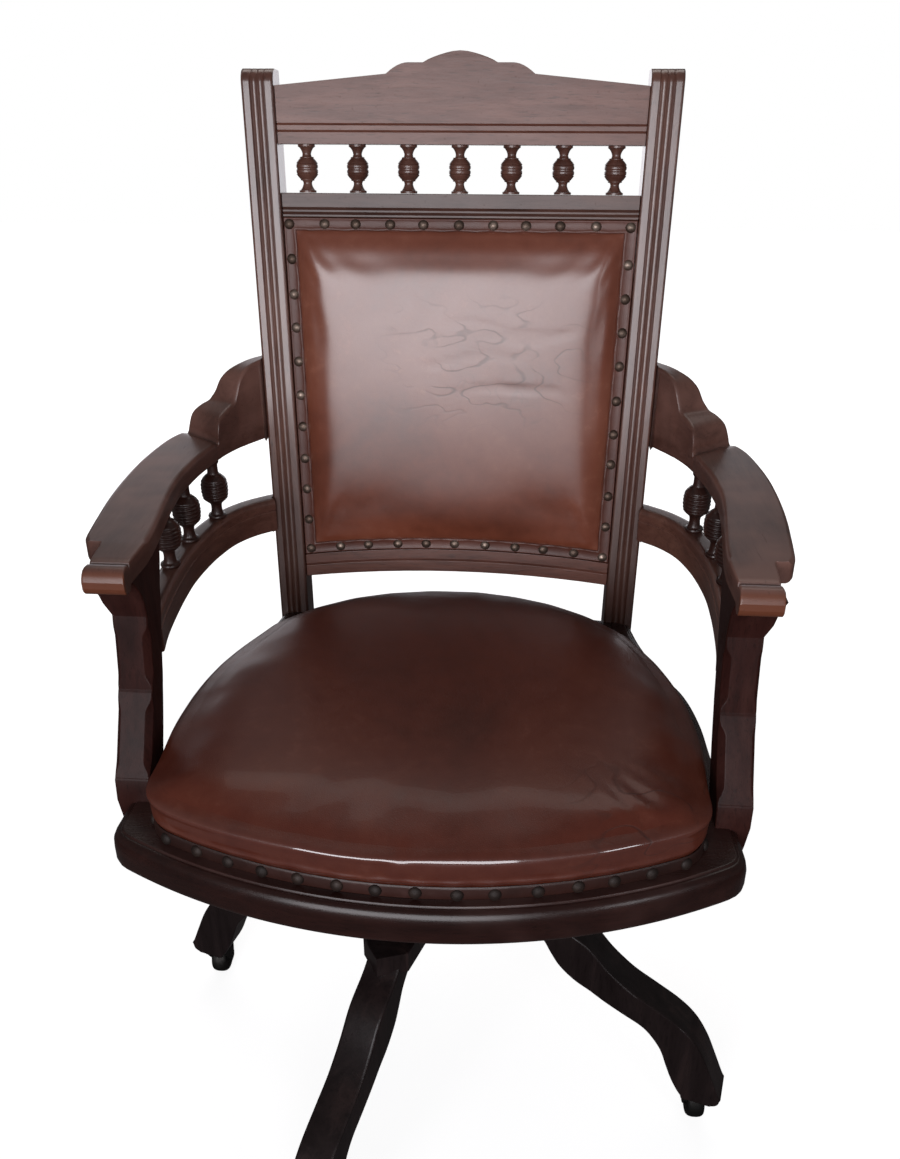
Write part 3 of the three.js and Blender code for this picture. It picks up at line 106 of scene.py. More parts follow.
def add_studio():
    """A pale floor, whiter away from the chair, which the camera alone sees lit through; four soft lamps."""
    bpy.context.scene.view_settings.view_transform = "Standard"
    world = bpy.data.worlds.new("studio")
    bpy.context.scene.world = world
    world.use_nodes = True
    room = Shop("studio", world.node_tree)
    seen = room.camera_share()
    soft = room.node("ShaderNodeBackground", {}, {"Color": (1, 1, 1, 1), "Strength": 0.1})
    white = room.node("ShaderNodeBackground", {}, {"Color": (1, 1, 1, 1), "Strength": 1.0})
    room.output("ShaderNodeOutputWorld", room.node("ShaderNodeMixShader", {}, [seen, soft, white]))

    mesh = bpy.data.meshes.new("floor")
    reach = 6.0
    mesh.from_pydata([(-reach, -reach, 0), (reach, -reach, 0), (reach, reach, 0), (-reach, reach, 0)],
                     [], [(0, 1, 2, 3)])
    floor = bpy.data.objects.new("floor", mesh)
    bpy.context.scene.collection.objects.link(floor)
    pale = Shop("pale floor")
    away = pale.node("ShaderNodeVectorMath", {"operation": "LENGTH"}, [pale.place], "Value")
    glow = away.between(0.7, 1.7) * 0.2 + 0.82
    matte = pale.node("ShaderNodeBsdfDiffuse", {}, {"Color": (0.5, 0.5, 0.5, 1)})
    lit = pale.node("ShaderNodeEmission", {}, {"Color": (1, 1, 1, 1), "Strength": glow})
    both = pale.node("ShaderNodeAddShader", {}, [matte, lit])
    dull = pale.node("ShaderNodeBsdfDiffuse", {}, {"Color": (0.13, 0.12, 0.12, 1)})
    mixed = pale.node("ShaderNodeMixShader", {}, [pale.camera_share(), dull, both])
    pale.output("ShaderNodeOutputMaterial", mixed)
    mesh.materials.append(pale.material)

    add_lamp("window", (-0.5, -3.1, 1.3), (-0.4, 0.3, 1.0), (2.7, 1.8), 80, (0.97, 0.96, 1))
    add_lamp("ceiling", (0, 1.55, 3.2), (0, -0.1, 0.5), (3.0, 1.3), 17, (1, 0.93, 0.88))
    add_lamp("side window", (2.3, -2.9, 1.2), (0.1, 0, 0.5), (0.5, 1.0), 9, (0.97, 0.96, 1))
    add_lamp("wall", (-0.4, 2.9, 1.0), (0, 0, 0.7), (3.2, 1.3), 17, (0.98, 0.95, 1))


# Materials

class Value:
    """A number or colour on its way through a material; + - and * add its Math nodes."""

    def __init__(self, shop, socket):
        self.shop, self.socket = shop, socket

    def math(self, operation, *others):
        return self.shop.node("ShaderNodeMath", {"operation": operation}, [self, *others])

    def __add__(self, other):
        return self.math("ADD", other)

    def __mul__(self, other):
        return self.math("MULTIPLY", other)

    def __sub__(self, other):
        return self.math("SUBTRACT", other)

    def __rsub__(self, other):
        return self.shop.node("ShaderNodeMath", {"operation": "SUBTRACT"}, [other, self])

    __radd__ = __add__
    __rmul__ = __mul__

    def between(self, low, high):
        """0 below low, 1 above high, and a smooth rise between them."""
        settings = {"interpolation_type": "SMOOTHSTEP"}
        values = {"Value": self, "From Min": low, "From Max": high}
        return self.shop.node("ShaderNodeMapRange", settings, values)

    def least(self, other):
        return self.math("MINIMUM", other)


class Shop:
    """Makes one material: its nodes, their values and their links."""

    def __init__(self, name, tree=None):
        if tree is None:
            self.material = bpy.data.materials.new(name)
            self.material.use_nodes = True
            tree = self.material.node_tree
        self.tree = tree
        self.tree.nodes.clear()
        self.place = self.node("ShaderNodeTexCoord", {}, {}, "Object")

    def node(self, kind, settings, values, output=0):
        """Adds a node, sets or links its inputs, and gives one of its outputs."""
        made = self.tree.nodes.new(kind)
        for name, setting in settings.items():
            if name == "stops":
                ramp = made.color_ramp
                while len(ramp.elements) < len(setting):
                    ramp.elements.new(0.5)
                for element, (position, colour) in zip(ramp.elements, setting):
                    element.position = position
                    element.color = (*colour, 1)
            else:
                setattr(made, name, setting)
        pairs = values.items() if isinstance(values, dict) else enumerate(values)
        for name, value in pairs:
            if isinstance(value, Value):
                self.tree.links.new(value.socket, made.inputs[name])
            else:
                made.inputs[name].default_value = value
        return Value(self, made.outputs[output])

    def placed(self, scale=(1, 1, 1), turn=(0, 0, 0), shift=(0, 0, 0)):
        """The object's own place, stretched, turned and shifted."""
        values = {"Vector": self.place, "Scale": scale, "Rotation": turn, "Location": shift}
        return self.node("ShaderNodeMapping", {}, values)

    def noise(self, where, scale, detail, roughness, distortion=0.0):
        values = {"Vector": where, "Scale": scale, "Detail": detail, "Roughness": roughness,
                  "Distortion": distortion}
        return self.node("ShaderNodeTexNoise", {}, values)

    def cells(self, where, scale):
        """How far a place lies from the edge of its pebble."""
        values = {"Vector": where, "Scale": scale}
        return self.node("ShaderNodeTexVoronoi", {"feature": "DISTANCE_TO_EDGE"}, values, "Distance")

    def ramp(self, value, stops):
        return self.node("ShaderNodeValToRGB", {"stops": stops}, {"Fac": value})

    def tint(self, share, first, second):
        """The second colour over the first, by a share from 0 to 1."""
        def coloured(colour):
            return colour if isinstance(colour, Value) else (*colour, 1)
        values = {0: share, 6: coloured(first), 7: coloured(second)}
        return self.node("ShaderNodeMix", {"data_type": "RGBA", "blend_type": "MIX"}, values, 2)

    def axis(self, name):
        """The object's own X, Y or Z, in metres."""
        return self.node("ShaderNodeSeparateXYZ", {}, {"Vector": self.place}, name)

    def bump(self, value, distance, strength, below=None):
        values = {"Height": value, "Distance": distance, "Strength": strength}
        if below:
            values["Normal"] = below
        return self.node("ShaderNodeBump", {}, values)

    def finish(self, **sockets):
        """Closes the material with its shader; base_color stands for its Base Color socket, and so on."""
        values = {name.replace("_", " ").title(): value for name, value in sockets.items()}
        values = {name.replace("Ior", "IOR"): value for name, value in values.items()}
        self.output("ShaderNodeOutputMaterial", self.node("ShaderNodeBsdfPrincipled", {}, values))
        return self.material

    def output(self, kind, surface):
        self.tree.links.new(surface.socket, self.tree.nodes.new(kind).inputs["Surface"])

    def camera_share(self):
        """1 where the camera looks straight at a thing, 0 for light that reaches it from elsewhere."""
        return self.node("ShaderNodeLightPath", {}, {}, "Is Camera Ray")

    def hairlines(self, where, scale, width):
        """1 along wavering lines where a noise passes its middle value, 0 elsewhere."""
        level = self.noise(where, scale, 1.6, 0.5, 0.25)
        return 1 - (level - 0.5).math("ABSOLUTE").between(0.0, width)


def wood(name, along, dark, middle, light, gloss=0.34, worn=0.35, seed=0.0, wear_above=None, warm_before=None,
         polish=0.35, ior=1.48, shade_below=None):
    """Waxed walnut: a broad wavering figure, long dark pores, soft worn patches and fine scratches.

    along is the axis that the grain follows; below the heights in shade_below the colour is painted darker as
    shade and the wax coat thins.
    """
    shop = Shop(name)
    stretch = {"X": (0.12, 1, 1), "Y": (1, 0.12, 1), "Z": (1, 1, 0.12)}[along]
    grain = shop.placed(stretch, shift=(seed, seed * 0.7, seed * 1.3))
    drift = shop.noise(grain, 9, 2, 0.5, 0.4)
    figure = shop.noise(grain, 38, 4, 0.6, 1.6)
    streak = shop.noise(grain, 170, 3, 0.65, 0.3)
    pore = shop.noise(grain, 520, 2, 0.5)
    flat = shop.placed(shift=(seed, 0, 0))
    patch = shop.noise(flat, 7, 3, 0.6)
    colour = shop.ramp(figure * 0.55 + drift * 0.45, [(0.32, dark), (0.5, middle), (0.68, light)])
    colour = shop.tint(streak.between(0.5, 0.72) * 0.5, colour, dark)
    colour = shop.tint(pore.between(0.58, 0.72) * 0.45, colour, tuple(0.45 * c for c in dark))
    wear = patch.between(0.5, 0.74) * worn
    if wear_above is not None:
        wear = (wear + shop.axis("Z").between(*wear_above) * patch.between(0.3, 0.62) * 0.6).least(1.0)
    colour = shop.tint(wear, colour, tuple(min(1.0, 1.35 * c + 0.012) for c in light))
    if warm_before is not None:
        front = 1 - shop.axis("Y").between(*warm_before)
        colour = shop.tint(front * (0.5 + patch * 0.5), colour, (0.17, 0.045, 0.016))
    # Painted shade: below the given heights the colour darkens and the wax coat thins.
    if shade_below is not None:
        painted_shade = (1 - shop.axis("Z").between(*shade_below)) * 0.75
        colour = shop.tint(painted_shade, colour, tuple(0.5 * c for c in dark))
        polish = polish * (1 - painted_shade)
    scratch = shop.noise(shop.placed((30, 3, 30), (0.4, 0.9, 0.3)), 12, 2, 0.4).between(0.7, 0.76)
    colour = shop.tint(scratch * 0.22, colour, tuple(0.5 * c for c in dark))
    rough = gloss + patch * 0.14 + streak * 0.1 + scratch * 0.12 - 0.1
    relief = shop.bump(pore * 0.5 + streak * 0.5, 0.0005, 0.32)
    relief = shop.bump(shop.noise(flat, 26, 2, 0.5) + scratch * -0.15, 0.0012, 0.22, relief)
    return shop.finish(base_color=colour, roughness=rough, normal=relief, coat_weight=polish,
                       coat_roughness=0.22, ior=ior)


def leather(name, dark, middle, light, gloss, crease_zone, grain_depth, seed, bleach=0.0,
            polish=(0.4, 0.25, 1.5), polished_edge=None, swell=0.25):
    """Old polished hide: pebbled grain, broad worn tones, fine cracks where it bends, painted darker partly
    as shade in the creases.

    polish is the coat's weight, roughness and index; polished_edge keeps it to a band along the bowed front.
    """
    shop = Shop(name)
    flat = shop.placed(shift=(seed, seed, 0))
    warp = shop.noise(flat, 14, 3, 0.6)
    broad = shop.noise(flat, 5.5, 3, 0.55, 0.6)
    mottle = shop.noise(flat, 60, 4, 0.65)
    pebble = shop.cells(flat, 620)
    colour = shop.ramp(broad * 0.75 + mottle * 0.25, [(0.3, dark), (0.5, middle), (0.72, light)])
    zone = crease_zone(shop)
    crack_and_shade = shop.hairlines(shop.placed((1, 1, 2.0), shift=(seed, 0, 0)), 17, 0.022) \
        * zone * warp.between(0.38, 0.52)
    small = shop.hairlines(shop.placed((1.7, 1, 1.2), (0.2, 0.15, 0.3)), 30, 0.03) \
        * zone * warp.between(0.46, 0.6) * 0.6
    # The crack lines, fine and small, are real cracks painted darker, partly as shade in the creases.
    colour = shop.tint(crack_and_shade * 0.55, colour, tuple(0.45 * c for c in dark))
    colour = shop.tint(small * 0.25, colour, tuple(0.5 * c for c in dark))
    rub = mottle.between(0.56, 0.7) * broad.between(0.45, 0.7)
    colour = shop.tint(rub * (0.25 + bleach), colour, tuple(min(1.0, 1.3 * c + 0.02) for c in light))
    rough = gloss + mottle * 0.16 + (1 - broad) * 0.1 + crack_and_shade * 0.2 - 0.08
    relief = shop.bump(pebble.between(0.0, 0.5), 0.0004, grain_depth)
    relief = shop.bump(broad * 0.6 + warp * 0.4, 0.003, swell, relief)
    relief = shop.bump(1 - crack_and_shade - small * 0.5, 0.0006, 0.4, relief)
    shine, dulled, index = polish
    if polished_edge is not None:
        across = shop.axis("X")
        back_from_front = shop.axis("Y") - across * across * 0.96
        shine = 0.04 + shine * (1 - back_from_front.between(*polished_edge))
    return shop.finish(base_color=colour, roughness=rough, normal=relief, coat_weight=shine,
                       coat_roughness=dulled, coat_ior=index, ior=1.46)


def aged_metal(name, dark, bright, gloss, seed, rub=0.5, metallic=0.85):
    """Old metal: rubbed bright on its high spots, dull and pitted elsewhere."""
    shop = Shop(name)
    flat = shop.placed(shift=(seed, 0, 0))
    patch = shop.noise(flat, 45, 4, 0.65)
    pit = shop.noise(flat, 420, 3, 0.6)
    shine = patch.between(0.42, 0.7) * rub
    colour = shop.tint(shine, dark, bright)
    colour = shop.tint(pit.between(0.6, 0.75) * 0.5, colour, tuple(0.4 * c for c in dark))
    rough = gloss + pit * 0.25 + (1 - shine) * 0.12 - 0.1
    relief = shop.bump(pit * 0.6 + patch * 0.4, 0.0006, 0.4)
    return shop.finish(base_color=colour, roughness=rough, normal=relief, metallic=metallic)


def seat_zone(shop):
    """Creases gather at the seat's right front."""
    x, y = shop.axis("X"), shop.axis("Y")
    corner = x.between(0.1, 0.2) * (1 - y.between(-0.16, -0.06))
    return corner.least(1.0)


def back_zone(shop):
    """Creases lie in a broad patch right of the middle of the back, a hand's breadth above centre."""
    x, z = shop.axis("X"), shop.axis("Z")
    across = x.between(-0.11, -0.01) * (1 - x.between(0.1, 0.17))
    up = z.between(0.7, 0.76) * (1 - z.between(0.82, 0.87))
    return (across * up + 0.04).least(1.0)


def plain_zone(_shop):
    """The same few creases everywhere."""
    return 0.15


def make_materials():
    """Every finish by its name; the woods share a few palettes."""
    crest = dict(dark=(0.098, 0.034, 0.021), middle=(0.165, 0.062, 0.043), light=(0.235, 0.098, 0.07))
    brown = dict(dark=(0.065, 0.023, 0.015), middle=(0.12, 0.048, 0.034), light=(0.18, 0.08, 0.056))
    walnut = dict(dark=(0.04, 0.014, 0.009), middle=(0.082, 0.032, 0.022), light=(0.13, 0.057, 0.041))
    arm = dict(dark=(0.052, 0.02, 0.014), middle=(0.1, 0.042, 0.031), light=(0.155, 0.07, 0.053))
    shade = dict(dark=(0.017, 0.006, 0.005), middle=(0.034, 0.012, 0.009), light=(0.06, 0.023, 0.017))
    deep = dict(dark=(0.012, 0.004, 0.0033), middle=(0.022, 0.007, 0.0055), light=(0.04, 0.014, 0.011))
    ebony = dict(dark=(0.007, 0.004, 0.004), middle=(0.014, 0.009, 0.009), light=(0.03, 0.018, 0.017))
    return {
        "crest": wood("light walnut crest", "X", **crest, seed=1.1, worn=0.45, polish=0.12),
        "rail": wood("walnut, grain across", "X", **walnut, seed=2.9, polish=0.15),
        "low_rail": wood("reddish walnut rail", "X", (0.055, 0.016, 0.009), (0.115, 0.038, 0.024),
                         (0.17, 0.062, 0.042), seed=9.7, polish=0.1),
        # The posts' colour is painted darker towards the bottom as shade.
        "post": wood("walnut, grain up", "Z", **brown, seed=2.3, polish=1.0, ior=1.55,
                     shade_below=(0.5, 0.72)),
        "turned": wood("turned walnut", "Z", **shade, seed=4.7, worn=0.3),
        "light_turned": wood("light turned walnut", "Z", **brown, seed=4.1, worn=0.5, polish=0.6, ior=1.55),
        "arm": wood("worn walnut arm", "Y", **arm, seed=3.1, gloss=0.42, worn=0.6, wear_above=(0.7, 0.709),
                    warm_before=(-0.1035, -0.0985)),
        "side_rail": wood("walnut side rail", "Y", **brown, seed=8.4, worn=0.4, ior=1.6),
        "arm_post": wood("shaded walnut, grain up", "Z", (0.018, 0.006, 0.005), (0.035, 0.011, 0.009),
                         (0.057, 0.02, 0.016), seed=5.9, gloss=0.34, polish=0.04, ior=1.2),
        "frame": wood("dark walnut seat frame", "X", **deep, seed=6.3, gloss=0.26, worn=0.55, ior=1.36,
                      wear_above=(0.462, 0.4648)),
        "leg": wood("ebonised leg", "Z", **ebony, seed=7.7, gloss=0.28, worn=0.45, polish=0.15, ior=1.3),
        "seat_hide": leather("oxblood seat leather", (0.058, 0.011, 0.0055), (0.1, 0.02, 0.0105),
                             (0.138, 0.034, 0.018), 0.34, seat_zone, 0.16, 3.7, polish=(0.95, 0.07, 2.2),
                             polished_edge=(-0.233, -0.222), swell=0.12),
        # The seat strip's dark colour is painted shade on the oxblood hide.
        "shaded_seat_strip_hide": leather("oxblood strip, darkened as painted shade", (0.016, 0.005, 0.0035), (0.032, 0.0095, 0.0065),
                                   (0.048, 0.015, 0.011), 0.42, plain_zone, 0.2, 7.7, polish=(0.2, 0.3, 1.5)),
        "back_hide": leather("chestnut back leather", (0.12, 0.03, 0.015), (0.2, 0.053, 0.027),
                             (0.27, 0.088, 0.05), 0.3, back_zone, 0.16, 9.2, bleach=0.1,
                             polish=(1.0, 0.29, 1.66)),
        "strip_hide": leather("chestnut strip", (0.06, 0.017, 0.011), (0.105, 0.034, 0.023),
                              (0.15, 0.057, 0.042), 0.38, plain_zone, 0.25, 5.2, polish=(0.12, 0.3, 1.5)),
        "outside_hide": leather("plain outside hide", (0.05, 0.016, 0.01), (0.085, 0.03, 0.021),
                                (0.12, 0.05, 0.036), 0.4, plain_zone, 0.3, 1.2),
        "nail": aged_metal("bronzed nail", (0.13, 0.09, 0.07), (0.45, 0.35, 0.29), 0.34, 1.0, 0.8),
        # The seat's nails are painted dark as shade.
        "shaded_seat_nail": aged_metal("seat nail darkened as painted shade", (0.014, 0.007, 0.005), (0.045, 0.024, 0.017), 0.5, 1.6,
                                0.6, 0.2),
        "brass": aged_metal("tarnished brass", (0.06, 0.04, 0.02), (0.3, 0.2, 0.1), 0.4, 2.0),
        "iron": aged_metal("blackened iron", (0.014, 0.013, 0.012), (0.09, 0.086, 0.082), 0.45, 3.0),
        "steel": aged_metal("oiled steel", (0.07, 0.068, 0.065), (0.34, 0.33, 0.32), 0.3, 4.0),
    }


# Surfaces

def angles_round(count):
    """Evenly spaced angles round a full turn."""
    return np.arange(count) * TAU / count


def about_axis(radius, angle, height):
    """Places at a radius and an angle about Z, at a height."""
    x, y = radius * np.cos(angle), radius * np.sin(angle)
    return np.stack([x, y, np.broadcast_to(height, x.shape)], -1)


def unit(vectors):
    """Each row at a length of 1."""
    return vectors / np.linalg.norm(vectors, axis=1, keepdims=True)


def walked(line):
    """How far along a line each of its points lies."""
    return np.concatenate([[0], np.cumsum(np.linalg.norm(np.diff(line, axis=0), axis=1))])


def grid_faces(rows, columns, wrap=True):
    """Quads between neighbouring rows of points; the columns close on themselves if wrap is true."""
    row, column = np.meshgrid(np.arange(rows - 1), np.arange(columns if wrap else columns - 1),
                              indexing="ij")
    after = (column + 1) % columns
    quads = [row * columns + column, row * columns + after, (row + 1) * columns + after,
             (row + 1) * columns + column]
    return np.stack(quads, -1).reshape(-1, 4).tolist()


def signed_volume(points, faces):
    """Six times the signed volume under the faces: positive for a closed surface that faces outwards."""
    total = 0.0
    for size in {len(face) for face in faces}:
        corners = np.array([face for face in faces if len(face) == size])
        first = points[corners[:, 0]]
        for k in range(1, size - 1):
            total += np.einsum("ij,ij->", first, np.cross(points[corners[:, k]], points[corners[:, k + 1]]))
    return total


def outward(points, faces):
    """The same surface, with every face turned over if its signed volume is negative.

    This makes it face outwards only where neighbouring faces already run the same way round.
    """
    points = np.asarray(points, float).reshape(-1, 3)
    if signed_volume(points, faces) < 0:
        faces = [face[::-1] for face in faces]
    return points, faces


def loft(rings):
    """A skin over rings[k, i] = place, with a flat cap on the first and last ring.

    Each cap runs the other way round than the walls beside it.
    """
    rows, columns = rings.shape[:2]
    last = (rows - 1) * columns
    caps = [list(range(columns)), [last + i for i in range(columns)][::-1]]
    return outward(rings, grid_faces(rows, columns) + caps)


def ringed(rings):
    """A closed skin whose last ring meets its first, as round a frame."""
    rows, columns = rings.shape[:2]
    faces = np.array(grid_faces(rows + 1, columns)) % (rows * columns)
    return outward(rings, faces.tolist())


def turned(profile, sides):
    """A turned piece: place(t, a) = (r(t) cos a, r(t) sin a, z(t)), closed on the axis at both ends."""
    radius, height = np.asarray(profile, float).T * MM
    return loft(about_axis(radius[:, None], angles_round(sides), height[:, None]))


def smooth_line(points, steps):
    """A Catmull-Rom line through points; a point given twice makes a corner."""
    points = np.asarray(points, float)
    padded = np.concatenate([2 * points[:1] - points[1:2], points, 2 * points[-1:] - points[-2:-1]])
    t = (np.arange(steps) / steps)[None, :, None]
    a, b, c, d = (padded[k:len(padded) - 3 + k][:, None] for k in range(4))
    curve = 0.5 * (2 * b + (c - a) * t + (2 * a - 5 * b + 4 * c - d) * t**2 + (3 * b - a - 3 * c + d) * t**3)
    return np.concatenate([curve.reshape(-1, points.shape[1]), points[-1:]])


def rounded_section(width, height, radius, steps):
    """Offsets round a rectangle with rounded corners, as [across, up], centred on the middle."""
    turn = np.linspace(0, math.pi / 2, steps)
    parts = []
    for quarter, (sx, sy) in enumerate([(1, 1), (-1, 1), (-1, -1), (1, -1)]):
        angle = turn + quarter * math.pi / 2
        parts.append(np.stack([sx * (width / 2 - radius) + radius * np.cos(angle),
                               sy * (height / 2 - radius) + radius * np.sin(angle)], -1))
    return np.concatenate(parts)


def moved(surface, matrix):
    """The surface turned and shifted by a 4 by 4 matrix."""
    points, faces = surface
    turn = np.array(matrix)
    return outward(points @ turn[:3, :3].T + turn[:3, 3], faces)


def flipped(surface):
    """The mirror image of a surface across X = 0."""
    points, faces = surface
    return outward(points * np.array([-1, 1, 1]), faces)


def add_piece(name, surfaces, material, body, stands_for, corner):
    """One object from closed surfaces, smooth except where faces meet at more than corner degrees."""
    points, faces, start = [], [], 0
    for surface_points, surface_faces in surfaces:
        points.append(surface_points)
        faces += [[start + i for i in face] for face in surface_faces]
        start += len(surface_points)
    mesh = bpy.data.meshes.new(name)
    mesh.from_pydata(np.concatenate(points).tolist(), [], faces)
    return finish_piece(name, mesh, material, body, stands_for, corner)


def finish_piece(name, mesh, material, body, stands_for, corner, crisp=True):
    """Names, finishes and places a mesh; crisp keeps broad faces flat beside their rounded edges.

    A body of None leaves the piece unattached to any body.
    """
    mesh.polygons.foreach_set("use_smooth", np.ones(len(mesh.polygons), bool))
    mesh.set_sharp_from_angle(angle=math.radians(corner))
    mesh.materials.clear()
    mesh.materials.append(material)
    piece = bpy.data.objects.new(name, mesh)
    bpy.context.scene.collection.objects.link(piece)
    if crisp:
        piece.modifiers.new("crisp", "WEIGHTED_NORMAL").keep_sharp = True
        bake_modifiers(piece)
    if body is not None:
        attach(piece, body)
    if stands_for:
        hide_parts(*stands_for)
    return piece


def eased(node, material, ease, reshape=None):
    """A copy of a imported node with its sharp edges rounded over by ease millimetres.

    reshape, where given, first moves each of its points.
    """
    shape = bmesh.new()
    shape.from_mesh(nodes[node].data)
    for vert in shape.verts if reshape else ():
        reshape(vert.co)
    bmesh.ops.remove_doubles(shape, verts=shape.verts, dist=1e-5)
    bmesh.ops.dissolve_limit(shape, angle_limit=math.radians(0.6), verts=shape.verts, edges=shape.edges)
    sharp = [edge for edge in shape.edges
             if len(edge.link_faces) == 2 and edge.calc_face_angle(0) > math.radians(28)]
    bmesh.ops.bevel(shape, geom=sharp, offset=ease * MM, segments=2, profile=0.5, affect="EDGES",
                    clamp_overlap=True)
    mesh = bpy.data.meshes.new(node + "_eased")
    shape.to_mesh(mesh)
    shape.free()
    return finish_piece(node + "_eased", mesh, material, body_of_node[node], (node,), 32)


# The leaning back frame

LEAN = math.radians(7.32)
BACK_FRONT, BACK_DATUM = 262, 472
POST_HALF, POST_SPLAY, POST_WIDTH = 223.4, 0.0234, 35.3
SET_BACK, RAIL_DEPTH = 5, 24
MID_TOP, CREST_BOTTOM = 497.7, 548.5


def leaned(points):
    """Millimetres across, back and up the posts, turned into places.

    y' = y cos + s sin, z' = s cos - y sin
    """
    x, y, s = np.moveaxis(np.asarray(points, float), -1, 0)
    return np.stack([x, BACK_FRONT + y * math.cos(LEAN) + s * math.sin(LEAN),
                     BACK_DATUM - y * math.sin(LEAN) + s * math.cos(LEAN)], -1) * MM


def inner_edge(height):
    """Half the width between the posts at a height along them."""
    return POST_HALF + POST_SPLAY * height - POST_WIDTH


def post_front(z):
    """How far back the posts' front lies at a height above the floor."""
    return BACK_FRONT + (z - BACK_DATUM) * math.tan(LEAN)


BACK_SPINDLE = [
    (9.6, 0), (9.6, 2.2), (9.6, 2.2), (8, 3.1), (6.2, 5.5), (5, 8.6), (4.9, 10.6), (5.6, 12.4), (5.6, 12.4),
    (7.6, 12.9), (7.6, 14), (7.6, 14), (9.6, 16), (11.6, 18.6), (12, 19.4), (12, 19.4), (11.2, 20),
    (11.2, 20), (12, 21), (12.1, 23.4), (11.4, 24.4), (11.4, 24.4), (11.4, 25.6), (11.4, 25.6),
    (12.1, 26.6), (12, 29), (11.2, 30), (11.2, 30), (12, 30.6), (12, 30.6), (11.6, 31.4), (9.6, 34),
    (7.6, 36), (7.6, 36), (7.6, 37.1), (5.6, 37.6), (5.6, 37.6), (4.9, 39.4), (5, 41.4), (6.2, 44.5),
    (8, 46.9), (9.6, 47.8), (9.6, 47.8), (9.6, 50),
]
ARM_SPINDLE = [
    (10.2, 0), (10.8, 1.8), (10.2, 3.6), (10.2, 3.6), (8.2, 4.2), (7, 6), (6.3, 10), (6.2, 14), (7, 17.5),
    (9.6, 20.2), (9.6, 20.2), (13.2, 23.6), (14.3, 25), (14.3, 25), (13.6, 26.2), (15, 27.9), (15.1, 29.4),
    (14, 30.7), (15.5, 32.2), (15.6, 33.7), (14.4, 35), (15.6, 36.5), (15.6, 38), (14.4, 39.3), (15.5, 40.8),
    (15.4, 42.3), (14, 43.6), (14.8, 45), (14.6, 46.4), (13.6, 47.3), (13.6, 47.3), (13, 49), (9.6, 52.6),
    (9.6, 52.6), (7, 54.6), (6.3, 57), (6.1, 62), (6.3, 66), (7.6, 68), (8.2, 71.4),
]


def spindle(profile, length):
    """A turned profile stretched to a length, finely stepped between its points."""
    line = smooth_line(profile, 4)
    line[:, 1] *= length / line[-1, 1]
    ends = [[0.2, line[0, 1]]], [[0.2, line[-1, 1]]]
    return turned(np.concatenate([ends[0], line, ends[1]]), 40)


def add_back_spindles(materials):
    """Seven turned spindles between the middle rail and the crest."""
    length = CREST_BOTTOM - MID_TOP - 0.6
    lean = Matrix.Rotation(-LEAN, 4, "X")
    for k in range(7):
        foot = leaned([57.1 * (k - 3), SET_BACK + RAIL_DEPTH / 2, MID_TOP + 0.3])
        surface = moved(spindle(BACK_SPINDLE, length), Matrix.Translation(foot.tolist()) @ lean)
        add_piece(f"turned_back_spindle_{k + 1}", [surface], materials["light_turned"], "seat",
                  [f"back_spindle_{k + 1}"], 50)


POST_DEPTH, POST_ROUND, POST_TOP = 36, 14, 624


def back_post():
    """A section with two beads between three grooves, carried up the post; its top rounds back.

    Over the last POST_ROUND the whole front falls back by R - sqrt(R^2 - h^2).
    """
    half = POST_WIDTH / 2
    bead = np.linspace(0, 7, 8)
    valley = np.stack([bead - 7, 0.1 + 1.7 * ((bead - 3.5) / 3.5)**2], -1)
    front = [(-half, 2.2), (1 - half, 0.6), (2.4 - half, 0), (3 - half, 0), (-9.3, 0), (-8.7, 0), (-8.2, 0.3)]
    front = np.array(front + valley.tolist())
    front = np.concatenate([front, (front[::-1] * (-1, 1))[1:]])
    rear = [(half, POST_DEPTH - 1.5), (half - 1.5, POST_DEPTH), (1.5 - half, POST_DEPTH),
            (-half, POST_DEPTH - 1.5)]
    section = np.array(front.tolist() + rear)
    is_front = np.arange(len(section)) < len(front)
    climb = POST_ROUND * np.sin(np.linspace(0, 0.46 * math.pi, 8))
    levels = np.concatenate([[-45], np.linspace(-20, 600, 12), POST_TOP - POST_ROUND + climb, [POST_TOP]])
    rings = []
    for level in levels:
        above = max(0.0, level - (POST_TOP - POST_ROUND))
        fall = POST_ROUND - math.sqrt(max(0.0, POST_ROUND**2 - min(above, 0.985 * POST_ROUND)**2))
        across = POST_HALF + POST_SPLAY * level - half + section[:, 0]
        depth = section[:, 1] + np.where(is_front, fall, 0)
        depth = np.minimum(depth, POST_DEPTH - 1.5 + 1.5 * (section[:, 1] > POST_DEPTH - 1))
        rings.append(np.stack([across, depth, np.full(len(section), level)], -1))
    return loft(leaned(np.array(rings)))


# Arms

ARM_TOP, ARM_UNDER, ARM_HALF, ARM_BACK, ARM_RISE = 710, 688, 339.5, 306, 74
